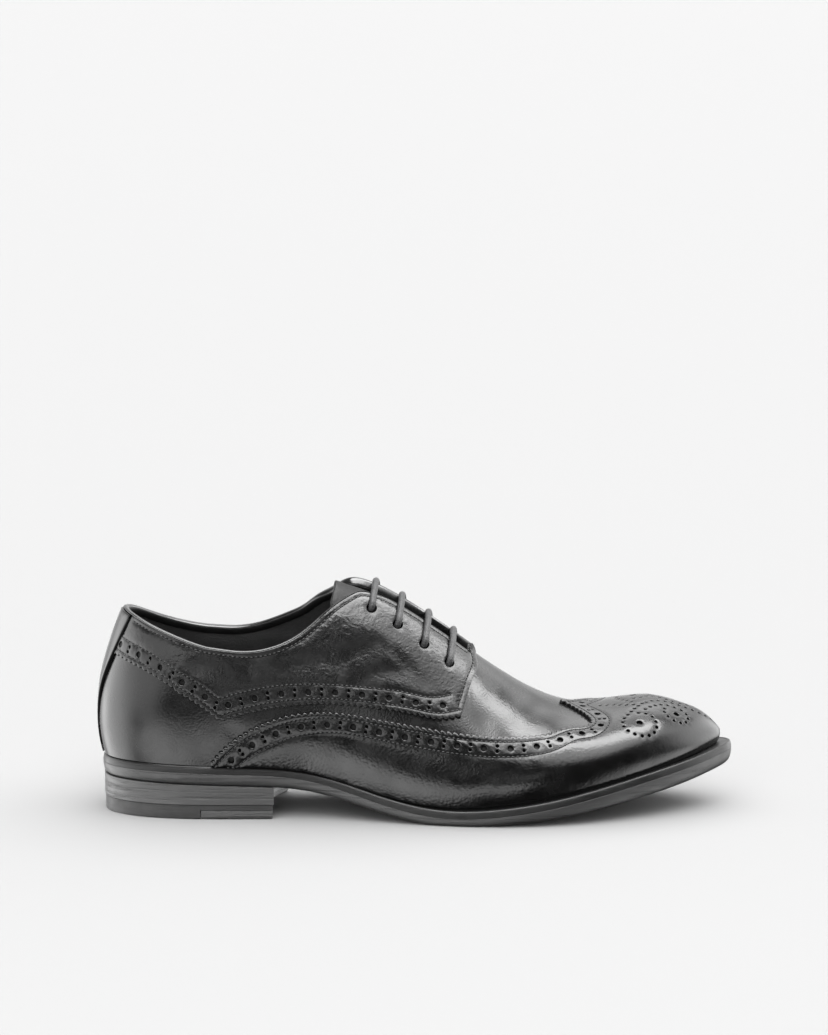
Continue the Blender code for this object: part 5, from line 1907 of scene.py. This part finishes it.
def make_dome():
    """A dome whose brightness depends only on direction: each lamp is a soft-edged round patch."""
    world = bpy.data.worlds.new("studio_dome")
    bpy.context.scene.world = world
    world.use_nodes = True
    tree = world.node_tree
    way = add(tree, "ShaderNodeTexCoord").outputs["Generated"]
    total = None
    for turn, height, outer, inner, strength in LAMPS.values():
        turn, height = math.radians(turn), math.radians(height)
        aim = (math.sin(turn) * math.cos(height), -math.cos(turn) * math.cos(height), math.sin(height))
        facing = add(tree, "ShaderNodeVectorMath", {0: way, 1: aim}, operation="DOT_PRODUCT")
        reach = {0: facing.outputs["Value"], 1: math.cos(math.radians(outer)),
                 2: math.cos(math.radians(inner)), 3: 0.0, 4: strength}
        patch = add(tree, "ShaderNodeMapRange", reach, interpolation_type="SMOOTHSTEP").outputs[0]
        start = DARK_SIDE if total is None else total
        total = add(tree, "ShaderNodeMath", {0: patch, 1: start}, operation="ADD").outputs[0]
    connect(tree, tree.nodes["Background"], {"Strength": total, "Color": srgb("ffffff")})


make_floor()
make_dome()
print("patches of the dome:", len(LAMPS))

# %% [markdown]
# A dome is endless, so it mirrors the same everywhere. Real boxes of light stand near and show in the
# leather with their own shape: a large one over the shoe, one over its front, a small low one before
# the vamp, and a white card in front of the heel. The leather alone mirrors them. Two soft suns that
# the leather doesn't mirror give the floor its brightness and the shoe its shadow.

# %% Boxes of light and fills
BOXES = {
    "softbox": ([(-250, -120, 800), (-250, 230, 800), (650, 230, 800), (650, -120, 800)], 19.0),
    "front_softbox": ([(-250, -620, 800), (-250, -120, 800), (330, -120, 800), (330, -620, 800)], 15.0),
    "low_softbox": ([(328, -70, 300), (328, 72, 300), (396, 72, 300), (396, -70, 300)], 19.0),
    "front_card": ([(-400, -635, 170), (20, -635, 170), (20, -635, 420), (-400, -635, 420)], 3.2),
}
FILLS = {"fill overhead": (0, 90, 14.0, 100), "fill in front": (-8, 32, 6.5, 50)}


def make_glowing_sheet(name, corners, glow):
    """A sheet of light near enough to show in the leather with its own shape, not as a sky."""
    made, tree, shader = material(name + "_cloth")
    connect(tree, shader, {"Base Color": srgb("000000"), "Emission Color": srgb("ffffff"),
                           "Emission Strength": glow})
    sheet = stage_sheet(name, metres(corners).tolist(), made)
    sheet.visible_camera = False
    sheet.visible_diffuse = False
    sheet.visible_shadow = False


def make_fills():
    """Soft suns for the white floor; the leather does not mirror them."""
    for name, (turn, height, strength, width) in FILLS.items():
        lamp = bpy.data.lights.new(name, "SUN")
        lamp.energy = strength
        lamp.angle = math.radians(width)
        sun = placed(name, lamp)
        sun.rotation_euler = (math.radians(90 - height), 0, math.radians(turn))
        sun.visible_glossy = False


for box_name, (box_corners, box_glow) in BOXES.items():
    make_glowing_sheet(box_name, box_corners, box_glow)
make_fills()
print("boxes of light:", len(BOXES), "fills:", len(FILLS))
bpy.context.scene.view_settings.view_transform = "Standard"
bpy.context.scene.view_settings.look = "None"
